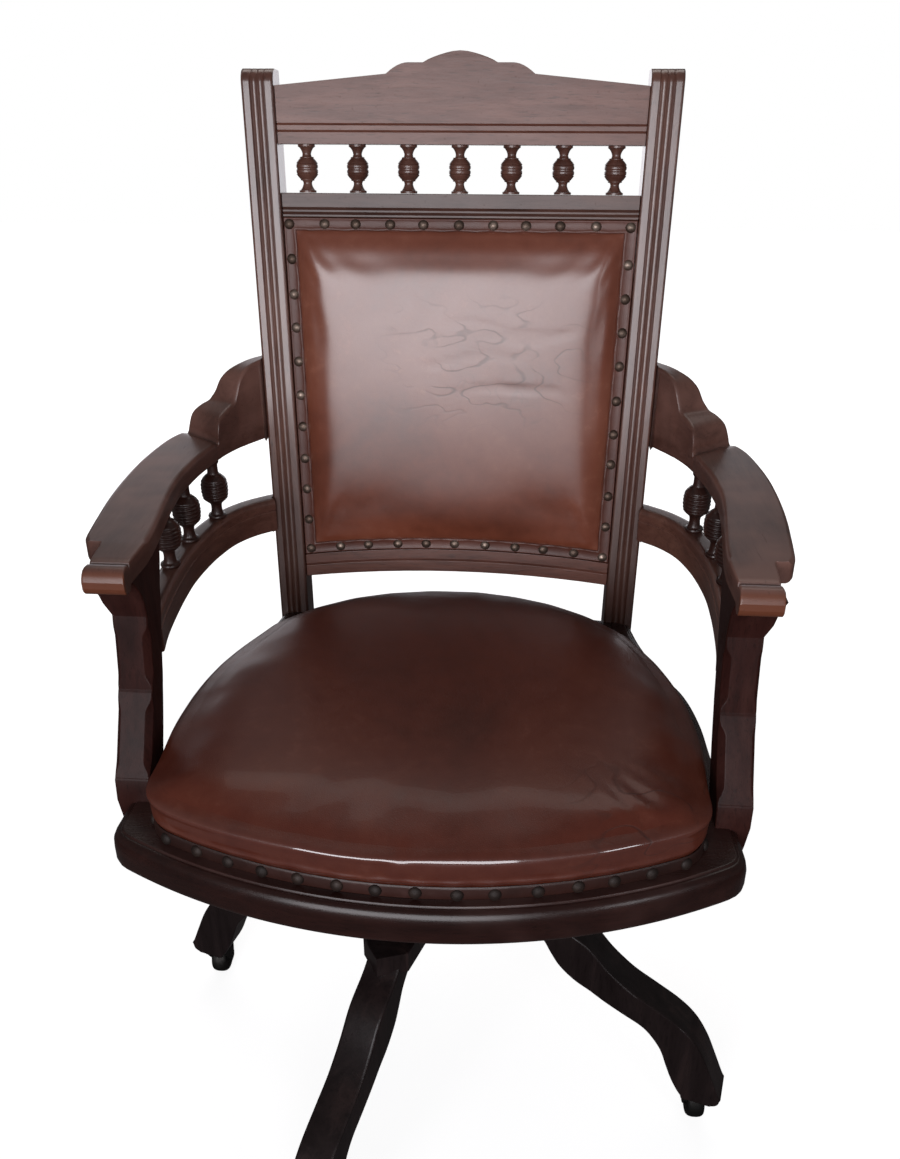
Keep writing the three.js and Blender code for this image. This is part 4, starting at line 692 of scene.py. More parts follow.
# inner x, inner y, outer x, outer y, share of the rise; one row for each slice from the post forwards
ARM_SLICES = [
    (0.682, 0.957, 0.682, 1.049, 1), (0.707, 0.912, 0.736, 1, 0.97), (0.722, 0.886, 0.785, 0.945, 0.9),
    (0.733, 0.865, 0.815, 0.917, 0.78), (0.743, 0.848, 0.834, 0.904, 0.6), (0.748, 0.838, 0.849, 0.896, 0.5),
    (0.754, 0.824, 0.86, 0.888, 0.445), (0.765, 0.797, 0.878, 0.87, 0.41), (0.777, 0.763, 0.895, 0.852, 0.36),
    (0.783, 0.742, 0.905, 0.842, 0.31), (0.786, 0.73, 0.912, 0.838, 0.24), (0.788, 0.721, 0.92, 0.838, 0.12),
    (0.788, 0.719, 0.925, 0.838, 0.03), (0.79, 0.712, 0.932, 0.833, -0.035), (0.793, 0.7, 0.938, 0.82, -0.02),
    (0.796, 0.68, 0.95, 0.8, 0), (0.806, 0.62, 0.972, 0.73, 0), (0.818, 0.54, 0.988, 0.62, 0),
    (0.825, 0.45, 0.998, 0.5, 0), (0.828, 0.36, 1, 0.38, 0), (0.822, 0.26, 0.997, 0.26, 0),
    (0.812, 0.16, 0.99, 0.15, 0), (0.801, 0.07, 0.98, 0.05, 0), (0.79, -0.02, 0.969, -0.05, 0),
    (0.783, -0.09, 0.96, -0.115, 0), (0.781, -0.13, 0.948, -0.143, 0),
]
# the nose: inner x, outer x, y, drop of the top, drop of the underside, in millimetres or shares
ARM_NOSE = [
    (0.781, 0.939, -0.15, 0, 0), (0.781, 0.905, -0.153, 0, 0), (0.781, 0.9, -0.17, 0, 0),
    (0.784, 0.896, -0.25, -0.6, 0), (0.785, 0.894, -0.27, -1, 0), (0.785, 0.893, -0.277, -2, 0),
    (0.785, 0.893, -0.281, -5.2, 0), (0.785, 0.893, -0.288, -5.6, 0), (0.785, 0.893, -0.291, -2.4, -2),
    (0.785, 0.895, -0.296, -1.4, -5), (0.785, 0.896, -0.312, -1.2, -5.5), (0.785, 0.897, -0.322, -2.2, -5),
    (0.784, 0.897, -0.331, -4.4, -3.6), (0.784, 0.897, -0.338, -7.4, -1.4),
    (0.784, 0.897, -0.342, -10.4, 1.4), (0.784, 0.896, -0.344, -12.2, 3.4),
]


def arm_rest():
    """Slices of a rounded rectangle from inner to outer edge, carried along the arm's curve.

    place = inner + (outer - inner) a, at a height between the underside and the rising top.
    """
    body = smooth_line(ARM_SLICES, 6)
    width = np.array([ARM_HALF, ARM_BACK, ARM_HALF, ARM_BACK])
    edges = body[:, :4] * width
    tops = ARM_TOP + body[:, 4] * ARM_RISE
    unders = np.full(len(body), ARM_UNDER)
    nose = np.array(ARM_NOSE, float)
    nose_edges = np.stack([nose[:, 0] * ARM_HALF, nose[:, 2] * ARM_BACK, nose[:, 1] * ARM_HALF,
                           nose[:, 2] * ARM_BACK], -1)
    edges = np.concatenate([edges, nose_edges])
    tops = np.concatenate([tops, ARM_TOP + nose[:, 3]])
    unders = np.concatenate([unders, ARM_UNDER + nose[:, 4]])
    round_over = np.concatenate([np.full(len(body), 5.0), np.full(len(nose), 2.2)])
    inner, outer = edges[:, :2], edges[:, 2:]
    along = unit(outer - inner)
    angle = np.linspace(0, math.pi / 2, 6)
    offset = []
    for across_end, up_end, start in [(1, 1, 0), (0, 1, 1), (0, 0, 2), (1, 0, 3)]:
        turn = angle + start * math.pi / 2
        share = 1.0 if up_end else 0.45
        offset.append((across_end, up_end, share * (np.cos(turn) - (1 if across_end else -1)),
                       share * (np.sin(turn) - (1 if up_end else -1))))
    rings = []
    for across_end, up_end, side, up in offset:
        reach = round_over[:, None] * side[None]
        corner = outer if across_end else inner
        level = tops if up_end else unders
        flat = corner[:, None] + along[:, None] * reach[..., None]
        rings.append(np.concatenate([flat, (level[:, None] + round_over[:, None] * up[None])[..., None]], -1))
    rings = np.concatenate(rings, 1)
    first = rings[0]
    first[:, 0] = POST_HALF + 0.5 + POST_SPLAY * (first[:, 2] - BACK_DATUM)
    first[:, 1] += post_front(first[:, 2]) - post_front(ARM_TOP + ARM_RISE)
    return loft(rings * MM)


SIDE_RAIL = [
    (0.762, 0.926), (0.85, 0.855), (0.916, 0.765), (0.957, 0.65), (0.98, 0.535), (0.993, 0.41),
    (0.993, 0.29), (0.987, 0.17), (0.974, 0.03), (0.953, -0.09),
]
RAIL_TOP, RAIL_HEIGHT, RAIL_WIDTH, RAIL_HALF = 616, 42, 24, 297
RAIL_STOP = -21  # where the rail's front end meets the rear face of the arm post


def side_rail():
    """A section with a rounded top and a bead line, carried along the rail's curve.

    place = curve(t) + across * side(t) + up
    """
    curve = smooth_line(np.array(SIDE_RAIL) * (RAIL_HALF, ARM_BACK), 10)
    curve = curve[curve[:, 1] > RAIL_STOP]
    ahead = unit(np.gradient(curve, axis=0))
    side = np.stack([-ahead[:, 1], ahead[:, 0]], -1)
    half, top, bottom = RAIL_WIDTH / 2, RAIL_TOP, RAIL_TOP - RAIL_HEIGHT
    quarter = np.linspace(0, math.pi / 2, 6)
    arch = [(half - 7 + 7 * math.cos(a), top - 6 + 6 * math.sin(a)) for a in quarter]
    lower = [(half - 3 + 3 * math.sin(a), bottom + 3 - 3 * math.cos(a)) for a in quarter[::2]]
    line = [(half, top - 13), (half - 1, top - 14), (half - 1, top - 15), (half, top - 16)]
    right = lower + line[::-1] + arch
    section = np.array(right + [(-x, z) for x, z in right[::-1]])
    flat = curve[:, None] + side[:, None] * section[None, :, :1]
    level = np.broadcast_to(section[:, 1], flat.shape[:2])
    rings = np.concatenate([flat, level[..., None]], -1)
    rings[0, :, 0] = POST_HALF + 0.5 + POST_SPLAY * (rings[0, :, 2] - BACK_DATUM)
    rings[0, :, 1] = curve[0, 1] + section[:, 0] + post_front(rings[0, :, 2]) - post_front(RAIL_TOP)
    return loft(rings * MM)


ARM_SPINDLE_SHARES = (0.255, 0.456, 0.647)


def along_rail(share):
    """The rail's place at a share of its length."""
    curve = smooth_line(np.array(SIDE_RAIL) * (RAIL_HALF, ARM_BACK), 20)
    length = walked(curve)
    return [np.interp(share * length[-1], length, curve[:, k]) for k in (0, 1)]


POST_INNER, ARM_POST_WIDTH = 270, 34


def eased_corners(corners, ease):
    """Each corner of a polygon cut back to three points of a small curve."""
    corners = np.asarray(corners, float)
    before, after = np.roll(corners, 1, 0) - corners, np.roll(corners, -1, 0) - corners
    before *= ease / np.linalg.norm(before, axis=1, keepdims=True)
    after *= ease / np.linalg.norm(after, axis=1, keepdims=True)
    return np.stack([corners + before, corners + (before + after) / 4, corners + after], 1).reshape(-1, 2)


def stopped(z, low, high):
    """1 between two heights and 0 outside them, with a curved run-out at each end."""
    run = 13
    return step(z, low, low + run) * (1 - step(z, high - run, high))


def arm_post():
    """A rectangle with two front chamfers, carried up the kneed front and curved rear of the post.

    The front leans from the foot to an arris at each knee; the chamfers stop short of them.
    """
    fronts = [(430, -106), (433, -112), (438, -116), (444, -117.6), (466, -118), (485.6, -113),
              (487.4, -111.4), (561, -71.6), (562.6, -70.4), (600, -63), (637, -56), (650, -57.4),
              (660, -60.5), (668, -65), (676, -71), (682, -76.5), (687.7, -82)]
    rears = [(430, -77), (466, -77), (490, -66), (514, -55.8), (538, -46.6), (562, -38.2), (586, -30.6),
             (612, -22.6), (637, -15), (650, -12), (670, -3), (687.7, 2)]
    heights = np.unique(np.concatenate([[z for z, _ in fronts], np.linspace(488, 560, 19),
                                        np.linspace(563, 636, 19)]))
    front = np.interp(heights, *np.array(fronts).T)
    rear = np.interp(heights, *np.array(rears).T)
    outer = POST_INNER + ARM_POST_WIDTH - 4.5 * (1 - step(heights, 436, 482))
    flare = 9 * np.interp(heights, [637, 639, 645, 655, 668, 687.7], [0, 0.45, 0.62, 0.8, 0.95, 1])
    chamfer = 0.9 + 4.2 * (stopped(heights, 565, 627) + stopped(heights, 489, 556))
    rings = []
    for z, y0, y1, x1, size, wide in zip(heights, front, rear, outer, chamfer, flare):
        x0, x1 = POST_INNER, x1 + wide
        near, far = 1.3 * size, 0.6 * size
        corners = [(x0 + near, y0), (x1 - far, y0), (x1, y0 + far), (x1, y1), (x0, y1), (x0, y0 + near)]
        rings.append(at_height(eased_corners(corners, min(0.8, 0.45 * size)), z))
    return loft(np.array(rings) * MM)


def add_arms(materials):
    """On each side a rest, a bent rail, a post and three spindles; the left is the right's mirror image."""
    rest, rail, post = arm_rest(), side_rail(), arm_post()
    for side, sign in SIDES.items():
        turn = (lambda surface: surface) if sign > 0 else flipped
        add_piece(f"smooth_arm_rest_{side}", [turn(rest)], materials["arm"], "seat",
                  [f"arm_rest_{side}"], 34)
        add_piece(f"smooth_arm_rail_{side}", [turn(rail)], materials["side_rail"], "seat",
                  [f"arm_rail_{side}"], 34)
        add_piece(f"chamfered_arm_post_{side}", [turn(post)], materials["arm_post"], "seat",
                  [f"arm_post_{side}"], 30)
        for k, share in enumerate(ARM_SPINDLE_SHARES):
            x, y = along_rail(share)
            foot = Matrix.Translation((x * MM, y * MM, (RAIL_TOP + 0.3) * MM))
            surface = turn(moved(spindle(ARM_SPINDLE, 71.4), foot))
            add_piece(f"turned_arm_spindle_{side}_{k + 1}", [surface], materials["turned"], "seat",
                      [f"arm_spindle_{side}_{k + 1}"], 50)


# Seat

SEAT_TOP, SEAT_THICK = 465, 39
SEAT = dict(half=295, front=245, corner=166, radius=16, back=284,
            side=[(0.988, -0.35), (0.967, 0), (0.956, 0.2), (0.922, 0.38), (0.854, 0.54), (0.788, 0.75),
                  (0.754, 0.92)])
CUSHION = dict(half=254, front=225, corner=163, radius=24, back=243,
               side=[(1, -0.42), (0.995, -0.12), (0.965, 0.14), (0.9, 0.37), (0.786, 0.618)])


def bezier(a, b, c, steps):
    """A curve from a to c, drawn towards b."""
    t = np.linspace(0, 1, steps)[:, None]
    return (1 - t)**2 * a + 2 * t * (1 - t) * b + t**2 * c


def bowed_outline(half, front, corner, radius, back, side, count=240):
    """A bowed front arc, a rounded corner and a side curve, evenly spaced, with their mirror image."""
    sagitta = front - corner
    bow = (half**2 + sagitta**2) / (2 * sagitta)
    swing = np.linspace(0, math.asin((half - radius) / bow), 60)
    arc = np.stack([bow * np.sin(swing), bow - front - bow * np.cos(swing)], -1)
    start = np.array([half, radius - corner])
    turn = bezier(arc[-1], np.array([half, -corner]), start, 16)
    places = np.array([start] + [(x * half, y * (front if y < 0 else back)) for x, y in side])
    flank = smooth_line(places, 12)
    last = places[-1]
    tail = bezier(last, np.array([last[0] * last[1] / back, back]), np.array([0, back]), 30)
    line = np.concatenate([arc, turn[1:], flank[1:], tail[1:]])
    length = walked(line)
    even = np.linspace(0, length[-1], count // 2 + 1)
    right = np.stack([np.interp(even, length, line[:, k]) for k in (0, 1)], -1)
    right[[0, -1], 0] = 0
    return np.concatenate([right, right[-2:0:-1] * (-1, 1)])


def inward(outline, distance):
    """Each point of an outline moved square to it, towards the inside."""
    along = unit(np.roll(outline, -1, 0) - np.roll(outline, 1, 0))
    return outline + np.stack([-along[:, 1], along[:, 0]], -1) * distance


def at_height(outline, z):
    """A flat outline lifted to a height."""
    return np.concatenate([outline, np.full((len(outline), 1), float(z))], -1)


def add_seat_frame(materials):
    """The bowed ring: each ring is the outline set in by a moulding's depth, or a share of it inside."""
    outline = bowed_outline(**SEAT)
    bottom = SEAT_TOP - SEAT_THICK
    under = [(9, bottom), (6, bottom + 0.5), (3, bottom + 2.2), (1, bottom + 5), (0, bottom + 9)]
    nose = [(8 * (1 - math.cos(a)), SEAT_TOP - 16 + 14.2 * math.sin(a))
            for a in np.linspace(0, math.pi / 2, 9)]
    lip = [(8.9, SEAT_TOP - 1.9), (9.4, SEAT_TOP - 1.5), (10.2, SEAT_TOP - 0.3), (11.2, SEAT_TOP)]
    rings = [at_height(inward(outline, depth), z) for depth, z in under + nose + lip]
    hole = outline * 0.76
    rebate = inward(hole, -9)
    rings += [at_height(rebate, SEAT_TOP), at_height(rebate, SEAT_TOP - 7.4), at_height(hole, SEAT_TOP - 7.4),
              at_height(hole, bottom)]
    add_piece("moulded_seat_frame", [ringed(np.array(rings) * MM)], materials["frame"], "seat",
              ["seat_frame"], 30)


# Padding

def relax_into_cushion(points, faces, name, pressure, cap, hold):
    """The cloth recipe: blow up for twenty frames, cap each point's move, hold some still.

    hold(places) gives 0 where a point may move and 1 where it stays. A move of m becomes C tanh(m / C).
    """
    mesh = bpy.data.meshes.new(name)
    mesh.from_pydata(points.tolist(), [], faces)
    pad = bpy.data.objects.new(name, mesh)
    bpy.context.scene.collection.objects.link(pad)
    rest = mesh_places(pad.data)
    held = hold(rest)
    group = pad.vertex_groups.new(name="held")
    for level in (1.0, 0.6, 0.3):
        picked = np.nonzero(np.abs(held - level) < 0.16)[0]
        if len(picked):
            group.add(picked.tolist(), level, "REPLACE")
    cloth = pad.modifiers.new("cloth", "CLOTH")
    cloth.settings.quality = 6
    cloth.settings.mass = 0.3
    cloth.settings.tension_stiffness = 14
    cloth.settings.compression_stiffness = 14
    cloth.settings.bending_stiffness = 1.2
    cloth.settings.use_pressure = True
    cloth.settings.uniform_pressure_force = pressure
    cloth.settings.vertex_group_mass = "held"
    cloth.settings.effector_weights.gravity = 0
    cloth.collision_settings.use_collision = False
    for number in range(1, 21):
        bpy.context.scene.frame_set(number)
    bake_modifiers(pad)
    bpy.context.scene.frame_set(1)
    swollen = mesh_places(pad.data)
    move = swollen - rest
    size = np.linalg.norm(move, axis=1, keepdims=True)
    size = np.maximum(size, 1e-9)
    move *= cap * MM * np.tanh(size / (cap * MM)) / size * (1 - held[:, None])
    pad.data.vertices.foreach_set("co", (rest + move).astype(np.float32).ravel())
    smooth = pad.modifiers.new("soften", "SMOOTH")
    smooth.iterations = 3
    smooth.factor = 0.5
    finer = pad.modifiers.new("finer", "SUBSURF")
    finer.levels = finer.render_levels = 1
    bake_modifiers(pad)
    made = pad.data.copy()
    bpy.data.objects.remove(pad)
    return made


def bake_modifiers(thing):
    """Replaces an object's mesh by what its modifiers make of it."""
    graph = bpy.context.evaluated_depsgraph_get()
    made = bpy.data.meshes.new_from_object(thing.evaluated_get(graph))
    thing.modifiers.clear()
    thing.data = made


def mesh_places(mesh):
    """A mesh's points as rows of X, Y and Z."""
    places = np.empty(len(mesh.vertices) * 3, np.float32)
    mesh.vertices.foreach_get("co", places)
    return places.reshape(-1, 3).astype(float)


def step(value, low, high):
    """A smooth rise from 0 at low to 1 at high."""
    t = np.clip((value - low) / (high - low), 0, 1)
    return t * t * (3 - 2 * t)


CUSHION_FOOT, CUSHION_HEIGHT, BAND_HEIGHT = SEAT_TOP + 0.3, 64, 13


def four_sided(border, n, m):
    """A net inside a border of four sides, blended from each pair of facing sides less the corners.

    place(u, v) = (1-v) S(u) + v N(u) + (1-u) W(v) + u E(v) - (1-u)(1-v) SW - u(1-v) SE - (1-u)v NW - u v NE
    """
    south, rest = border[:n], border[n - 1:]
    east, rest = rest[:m], rest[m - 1:]
    north = rest[:n][::-1]
    west = np.concatenate([rest[n - 1:], border[:1]])[::-1]
    u, v = np.linspace(0, 1, n)[:, None, None], np.linspace(0, 1, m)[None, :, None]
    facing = (1 - v) * south[:, None] + v * north[:, None] + (1 - u) * west[None] + u * east[None]
    corners = (1 - u) * (1 - v) * south[0] + u * (1 - v) * south[-1] \
        + (1 - u) * v * north[0] + u * v * north[-1]
    return facing - corners


def net_border(n, m):
    """The numbers of a net's border points, in the order of the border it was made from."""
    return np.concatenate([np.arange(n) * m, (n - 1) * m + np.arange(1, m),
                           np.arange(n - 2, -1, -1) * m + m - 1, np.arange(m - 2, 0, -1)])


CUSHION_BULGE = 8.0
# Up the cushion's side: how far out as a share of the bulge, and how high as a share of the height.
CUSHION_FRONT = [(0, 0), (0, 0.1), (0, 0.2), (0.25, 0.25), (0.7, 0.35), (0.95, 0.48), (1.04, 0.6),
                 (0.95, 0.665), (0.5, 0.72), (-0.5, 0.765)]
CUSHION_FLANK = [(0, 0), (0, 0.1), (0, 0.2), (0.55, 0.25), (1.35, 0.34), (1.85, 0.46), (1.85, 0.57),
                 (1.45, 0.67), (0.6, 0.745), (-0.8, 0.795)]


def cushion_surface():
    """A net over the crown and rings down a bulging side to a flat foot, worked out in millimetres.

    height = shoulder + (top - shoulder) (p(u) p(v))^0.55, where p(t) = 1 - (1 - 2 min(t, 1 - t))^2.6. The net
    runs the other way round than the sides.
    """
    n, m = 49, 41
    count = 2 * (n - 1) + 2 * (m - 1)
    outline = bowed_outline(**CUSHION, count=count)
    start = int(np.argmin(outline @ np.array([1.0, 1.25])))
    outline = np.roll(outline, -start, 0)
    flank = step(outline[:, 1], -150, -40)[:, None]
    rings = []
    for (front_out, front_up), (flank_out, flank_up) in zip(smooth_line(CUSHION_FRONT, 3),
                                                            smooth_line(CUSHION_FLANK, 3)):
        out = CUSHION_BULGE * (front_out + (flank_out - front_out) * flank)
        up = CUSHION_HEIGHT * (front_up + (flank_up - front_up) * flank)
        rings.append(np.concatenate([inward(outline, -out), CUSHION_FOOT + up], -1))
    shoulder = rings.pop()
    net = four_sided(shoulder[:, :2], n, m)
    u, v = np.meshgrid(np.linspace(0, 1, n), np.linspace(0, 1, m), indexing="ij")
    edge = (1 - (1 - 2 * np.minimum(u, 1 - u))**2.6) * (1 - (1 - 2 * np.minimum(v, 1 - v))**2.6)
    edge = edge**0.55
    low = four_sided(shoulder[:, 2:], n, m)[..., 0]
    top = np.concatenate([net, (low + (CUSHION_FOOT + CUSHION_HEIGHT - 1 - low) * edge)[..., None]], -1)
    walls = np.array(rings)
    points = np.concatenate([top.reshape(-1, 3), walls.reshape(-1, 3)])
    faces = grid_faces(n, m, wrap=False)
    wall_start = n * m
    faces += [[wall_start + i for i in face] for face in grid_faces(len(rings), count)]
    border = net_border(n, m)
    highest = wall_start + (len(rings) - 1) * count + np.arange(count)
    seam = np.stack([highest, np.roll(highest, -1), np.roll(border, -1), border], -1)
    foot = [(wall_start + np.arange(count))[::-1].tolist()]
    return outward(points * MM, faces + seam.tolist() + foot)


def add_seat_cushion(materials):
    """The stuffed seat: a smooth crown, a drawn ridge along its front edge, a shallow hollow and folds."""
    points, faces = cushion_surface()
    foot = (CUSHION_FOOT + BAND_HEIGHT) * MM

    def held(places):
        low = places[:, 2] < foot
        near = (places[:, 2] >= foot) & (places[:, 2] < foot + 0.008)
        return np.where(low, 1.0, np.where(near, 0.6, 0.0))

    mesh = relax_into_cushion(points, faces, "seat_cushion_soft", 3.5, 4, held)
    places = mesh_places(mesh)
    x, y, z = places.T
    hollow = -0.003 * np.exp(-((x / 0.14)**2 + ((y - 0.03) / 0.12)**2))
    fold = 0.0009 * np.sin((x * 0.8 + y) * 230 + 3 * np.sin(x * 40)) \
        * np.exp(-(((x - 0.19) / 0.03)**2 + ((y + 0.15) / 0.03)**2))
    places[:, 2] += (hollow + fold) * step(z, CUSHION_FOOT * MM + 0.04, CUSHION_FOOT * MM + 0.052)
    outwards = places[:, :2] / np.maximum(np.linalg.norm(places[:, :2], axis=1, keepdims=True), 1e-6)
    front = step(-y, 0.09, 0.14)
    wander = 0.0016 * np.sin(x * 13 + 0.6) + 0.0009 * np.sin(x * 37)
    ridge = 0.0022 * np.exp(-((z - CUSHION_FOOT * MM - 0.044 - wander) / 0.0042)**2)
    notch = 1 - 0.9 * np.exp(-((x + 0.012) / 0.006)**2)
    wall = np.exp(-((z - foot - 0.012) / 0.012)**2)
    gather = 0.0008 * np.sin(x * 260) * np.exp(-((x + 0.03) / 0.03)**2) * wall
    pinch = 0.0005 * np.cos(np.arctan2(x, -y) * 46) * np.exp(-((z - foot - 0.004) / 0.005)**2)
    places[:, :2] += outwards * (front * (ridge * notch + gather) + pinch)[:, None]
    places[:, 2] += front * ridge * notch * 0.5
    mesh.vertices.foreach_set("co", places.astype(np.float32).ravel())
    piece = finish_piece("leather_seat_cushion", mesh, materials["seat_hide"], "seat",
                         ["seat_cushion"], 60, crisp=False)


PAD_LOW, PAD_HIGH, ARCH = 69.9, 472.1, 12
PAD_BACK = 9.7
STRIP_WIDTH = 14.5


def pad_place(u, v, inset):
    """A place on the back: across the posts by u, up from the arched lower rail by v, both 0 to 1."""
    low, high = PAD_LOW + inset, PAD_HIGH - inset
    half = inner_edge(low + v * (high - low)) - 0.3 - inset
    x = half * (2 * u - 1)
    arch = ARCH * (1 - (x / inner_edge(40.8))**2)
    return x, low + arch + v * (high - low - arch)


def pad_rise(side, foot, head):
    """How far the pad has risen inside its border: 1 - ((a^2 + b^2) / (1 + a^2 b^2))^1.25.

    a = 1 - side / 19 mm and b = 1 - foot / 60 mm or 1 - head / 34 mm, none below 0.
    """
    across = (1 - np.clip(side / 19, 0, 1))**2
    along = np.maximum(1 - np.clip(foot / 60, 0, 1), 1 - np.clip(head / 34, 0, 1))**2
    return 1 - ((across + along) / (1 + across * along))**1.25


def crowded(count):
    """Shares from 0 to 1 that stand closer together near both ends: t - 0.11 sin(2 pi t)."""
    t = np.linspace(0, 1, count)
    return t - 0.11 * np.sin(TAU * t)


def add_back_pad(materials):
    """The stuffed back: a steep round edge inside its nailed strip, then a slow crown.

    out = 4 + 12.5 rise + 5 (1 - (2u - 1)^2) (1 - (2v - 1)^2). The narrow sides run the other way round than
    the front and rear.
    """
    n, m = 57, 61
    u, v = np.meshgrid(crowded(n), crowded(m), indexing="ij")
    inset = STRIP_WIDTH - 1
    x, s = pad_place(u, v, inset)
    wide, tall = 2 * (inner_edge(270) - inset), PAD_HIGH - PAD_LOW - 2 * inset
    rise = pad_rise(np.minimum(u, 1 - u) * wide, v * tall, (1 - v) * tall)
    crown = (1 - (2 * u - 1)**2) * (1 - (2 * v - 1)**2)
    front = np.stack([x, PAD_BACK - 4 - 12.5 * rise - 5 * crown, s], -1)
    rear = np.stack([x, np.full_like(x, PAD_BACK), s], -1)
    points = leaned(np.concatenate([front.reshape(-1, 3), rear.reshape(-1, 3)]))
    front_faces = np.array(grid_faces(n, m, wrap=False))
    rear_faces = front_faces[:, ::-1] + n * m
    border = net_border(n, m)
    after = np.roll(border, -1)
    sides = np.stack([border, border + n * m, after + n * m, after], -1)
    points, faces = outward(points, np.concatenate([front_faces, rear_faces, sides]).tolist())

    def held(places):
        out = out_of_back(places)
        return np.where(out < 4.5, 1.0, np.where(out < 8, 0.6, 0.0))

    mesh = relax_into_cushion(points, faces, "back_pad_soft", 3.5, 2.5, held)
    places = mesh_places(mesh)
    lift = step(out_of_back(places), 5, 12)
    x, z = places[:, 0], places[:, 2]
    pull = np.zeros_like(x)
    for nail in nail_spots():
        place = leaned(nail)
        pull += np.exp(-((x - place[0])**2 + (z - place[2])**2) / 0.0105**2)
    sag = 0.0016 * np.exp(-((z - 0.60) / 0.035)**2) * np.cos(x * 22)
    places[:, 1] += (0.0011 * pull + creases(x, z) - sag) * lift
    mesh.vertices.foreach_set("co", places.astype(np.float32).ravel())
    piece = finish_piece("leather_back_pad", mesh, materials["back_hide"], "seat",
                         ["back_pad"], 60, crisp=False)


def out_of_back(places):
    """How far each place stands out from the pad's flat back, in millimetres."""
    y = places[:, 1] / MM - BACK_FRONT
    z = places[:, 2] / MM - BACK_DATUM
    return PAD_BACK - (y * math.cos(LEAN) - z * math.sin(LEAN))


def creases(x, z):
    """Shallow grooves: each is a bell across a wavering line z = a + b x + c sin(k x), faded at its ends."""
    total = np.zeros_like(x)
    for start, end, a, b, c, k, depth, wide in [
        (-0.02, 0.13, 0.832, -0.12, 0.003, 70, 0.45, 2.6), (0.02, 0.15, 0.812, 0.05, 0.004, 55, 0.5, 2.8),
        (-0.05, 0.09, 0.79, 0.1, 0.003, 62, 0.35, 2.4), (0.03, 0.14, 0.772, -0.16, 0.003, 75, 0.4, 2.6),
        (-0.01, 0.11, 0.752, 0.08, 0.004, 48, 0.35, 2.6),
    ]:
        line = a + b * x + c * np.sin(k * x)
        fade = step(x, start, start + 0.03) * (1 - step(x, end - 0.03, end))
        total += depth * MM * fade * np.exp(-((z - line) / (wide * MM))**2)
    return total


def border_strip():
    """The strip round the pad, u = 0 to 1 across it: two raised edges, a hollow between, puckers at nails."""
    count = 90
    t = np.linspace(0, 1, count)
    walk = np.concatenate([np.stack([t, 0 * t], -1)[:-1], np.stack([0 * t + 1, t], -1)[:-1],
                           np.stack([1 - t, 0 * t + 1], -1)[:-1], np.stack([0 * t, 1 - t], -1)[:-1]])
    number = np.arange(len(walk))
    pinch = np.cos(number * TAU / ((count - 1) / 10))
    wave = 0.3 * np.sin(number * 0.61) + 0.2 * np.sin(number * 1.37)

    def line(inset, out):
        x, s = pad_place(walk[:, 0], walk[:, 1], inset)
        return np.stack([x, PAD_BACK - np.broadcast_to(out, x.shape), s], -1)

    rings = [line(0.2, 0.3), line(0.2, 3.6), line(0.6, 4.5), line(1.5, 4.9), line(2.6, 4.7), line(3.4, 4.1),
             line(7, 4.0 - 0.2 * pinch), line(10.4, 4.3), line(11.3, 4.9 + 0.1 * wave), line(12.6, 5.3),
             line(13.8 + 0.5 * wave, 5.0 - 0.5 * pinch), line(STRIP_WIDTH + 0.4 * wave, 4.2 - 0.6 * pinch),
             line(STRIP_WIDTH, 0.3)]
    return ringed(leaned(np.array(rings)))


def dome():
    """A nail's head about +Z: r = R cos a, z = H sin a, closed flat underneath."""
    radius, height = 6.0, 3.3
    profile = [(radius * 0.2, -0.6), (radius * 0.94, -0.6)]
    profile += [(radius * math.cos(a), height * math.sin(a)) for a in np.linspace(0, math.pi / 2 * 0.94, 4)]
    return turned(profile, 14)


def nails_along(places, normals):
    """A nail's head at each place, turned to face along its normal."""
    head = dome()
    surfaces = []
    for place, normal in zip(places, normals):
        turn = Vector(normal).to_track_quat("Z", "Y").to_matrix().to_4x4()
        surfaces.append(moved(head, Matrix.Translation(Vector(place)) @ turn))
    return surfaces


def nail_spots():
    """Millimetres across, back and up for each nail: eleven along each end, and nine more up each side."""
    shares = [(k / 10, end) for end in (1.0, 0.0) for k in range(11)]
    shares += [(side, k / 10) for side in (0.0, 1.0) for k in range(1, 10)]
    wander = np.random.default_rng(4).normal(0, 0.9, (len(shares), 2))
    spots = []
    for (u, v), (dx, ds) in zip(shares, wander):
        x, s = pad_place(np.array(u), np.array(v), 7.2)
        spots.append((float(x) + dx * (v in (0.0, 1.0)), PAD_BACK - 4.2, float(s) + ds * (u in (0.0, 1.0))))
    return spots


def add_back_border(materials):
    """The nailed strip and its dome nails, one about every 37 millimetres."""
    add_piece("leather_back_strip", [border_strip()], materials["strip_hide"], "seat",
              ["back_band"], 50)
    places = leaned(nail_spots())
    facing = (0, -math.cos(LEAN), math.sin(LEAN))
    add_piece("back_nails", nails_along(places, [facing] * len(places)), materials["nail"], "seat",
              (), 60)


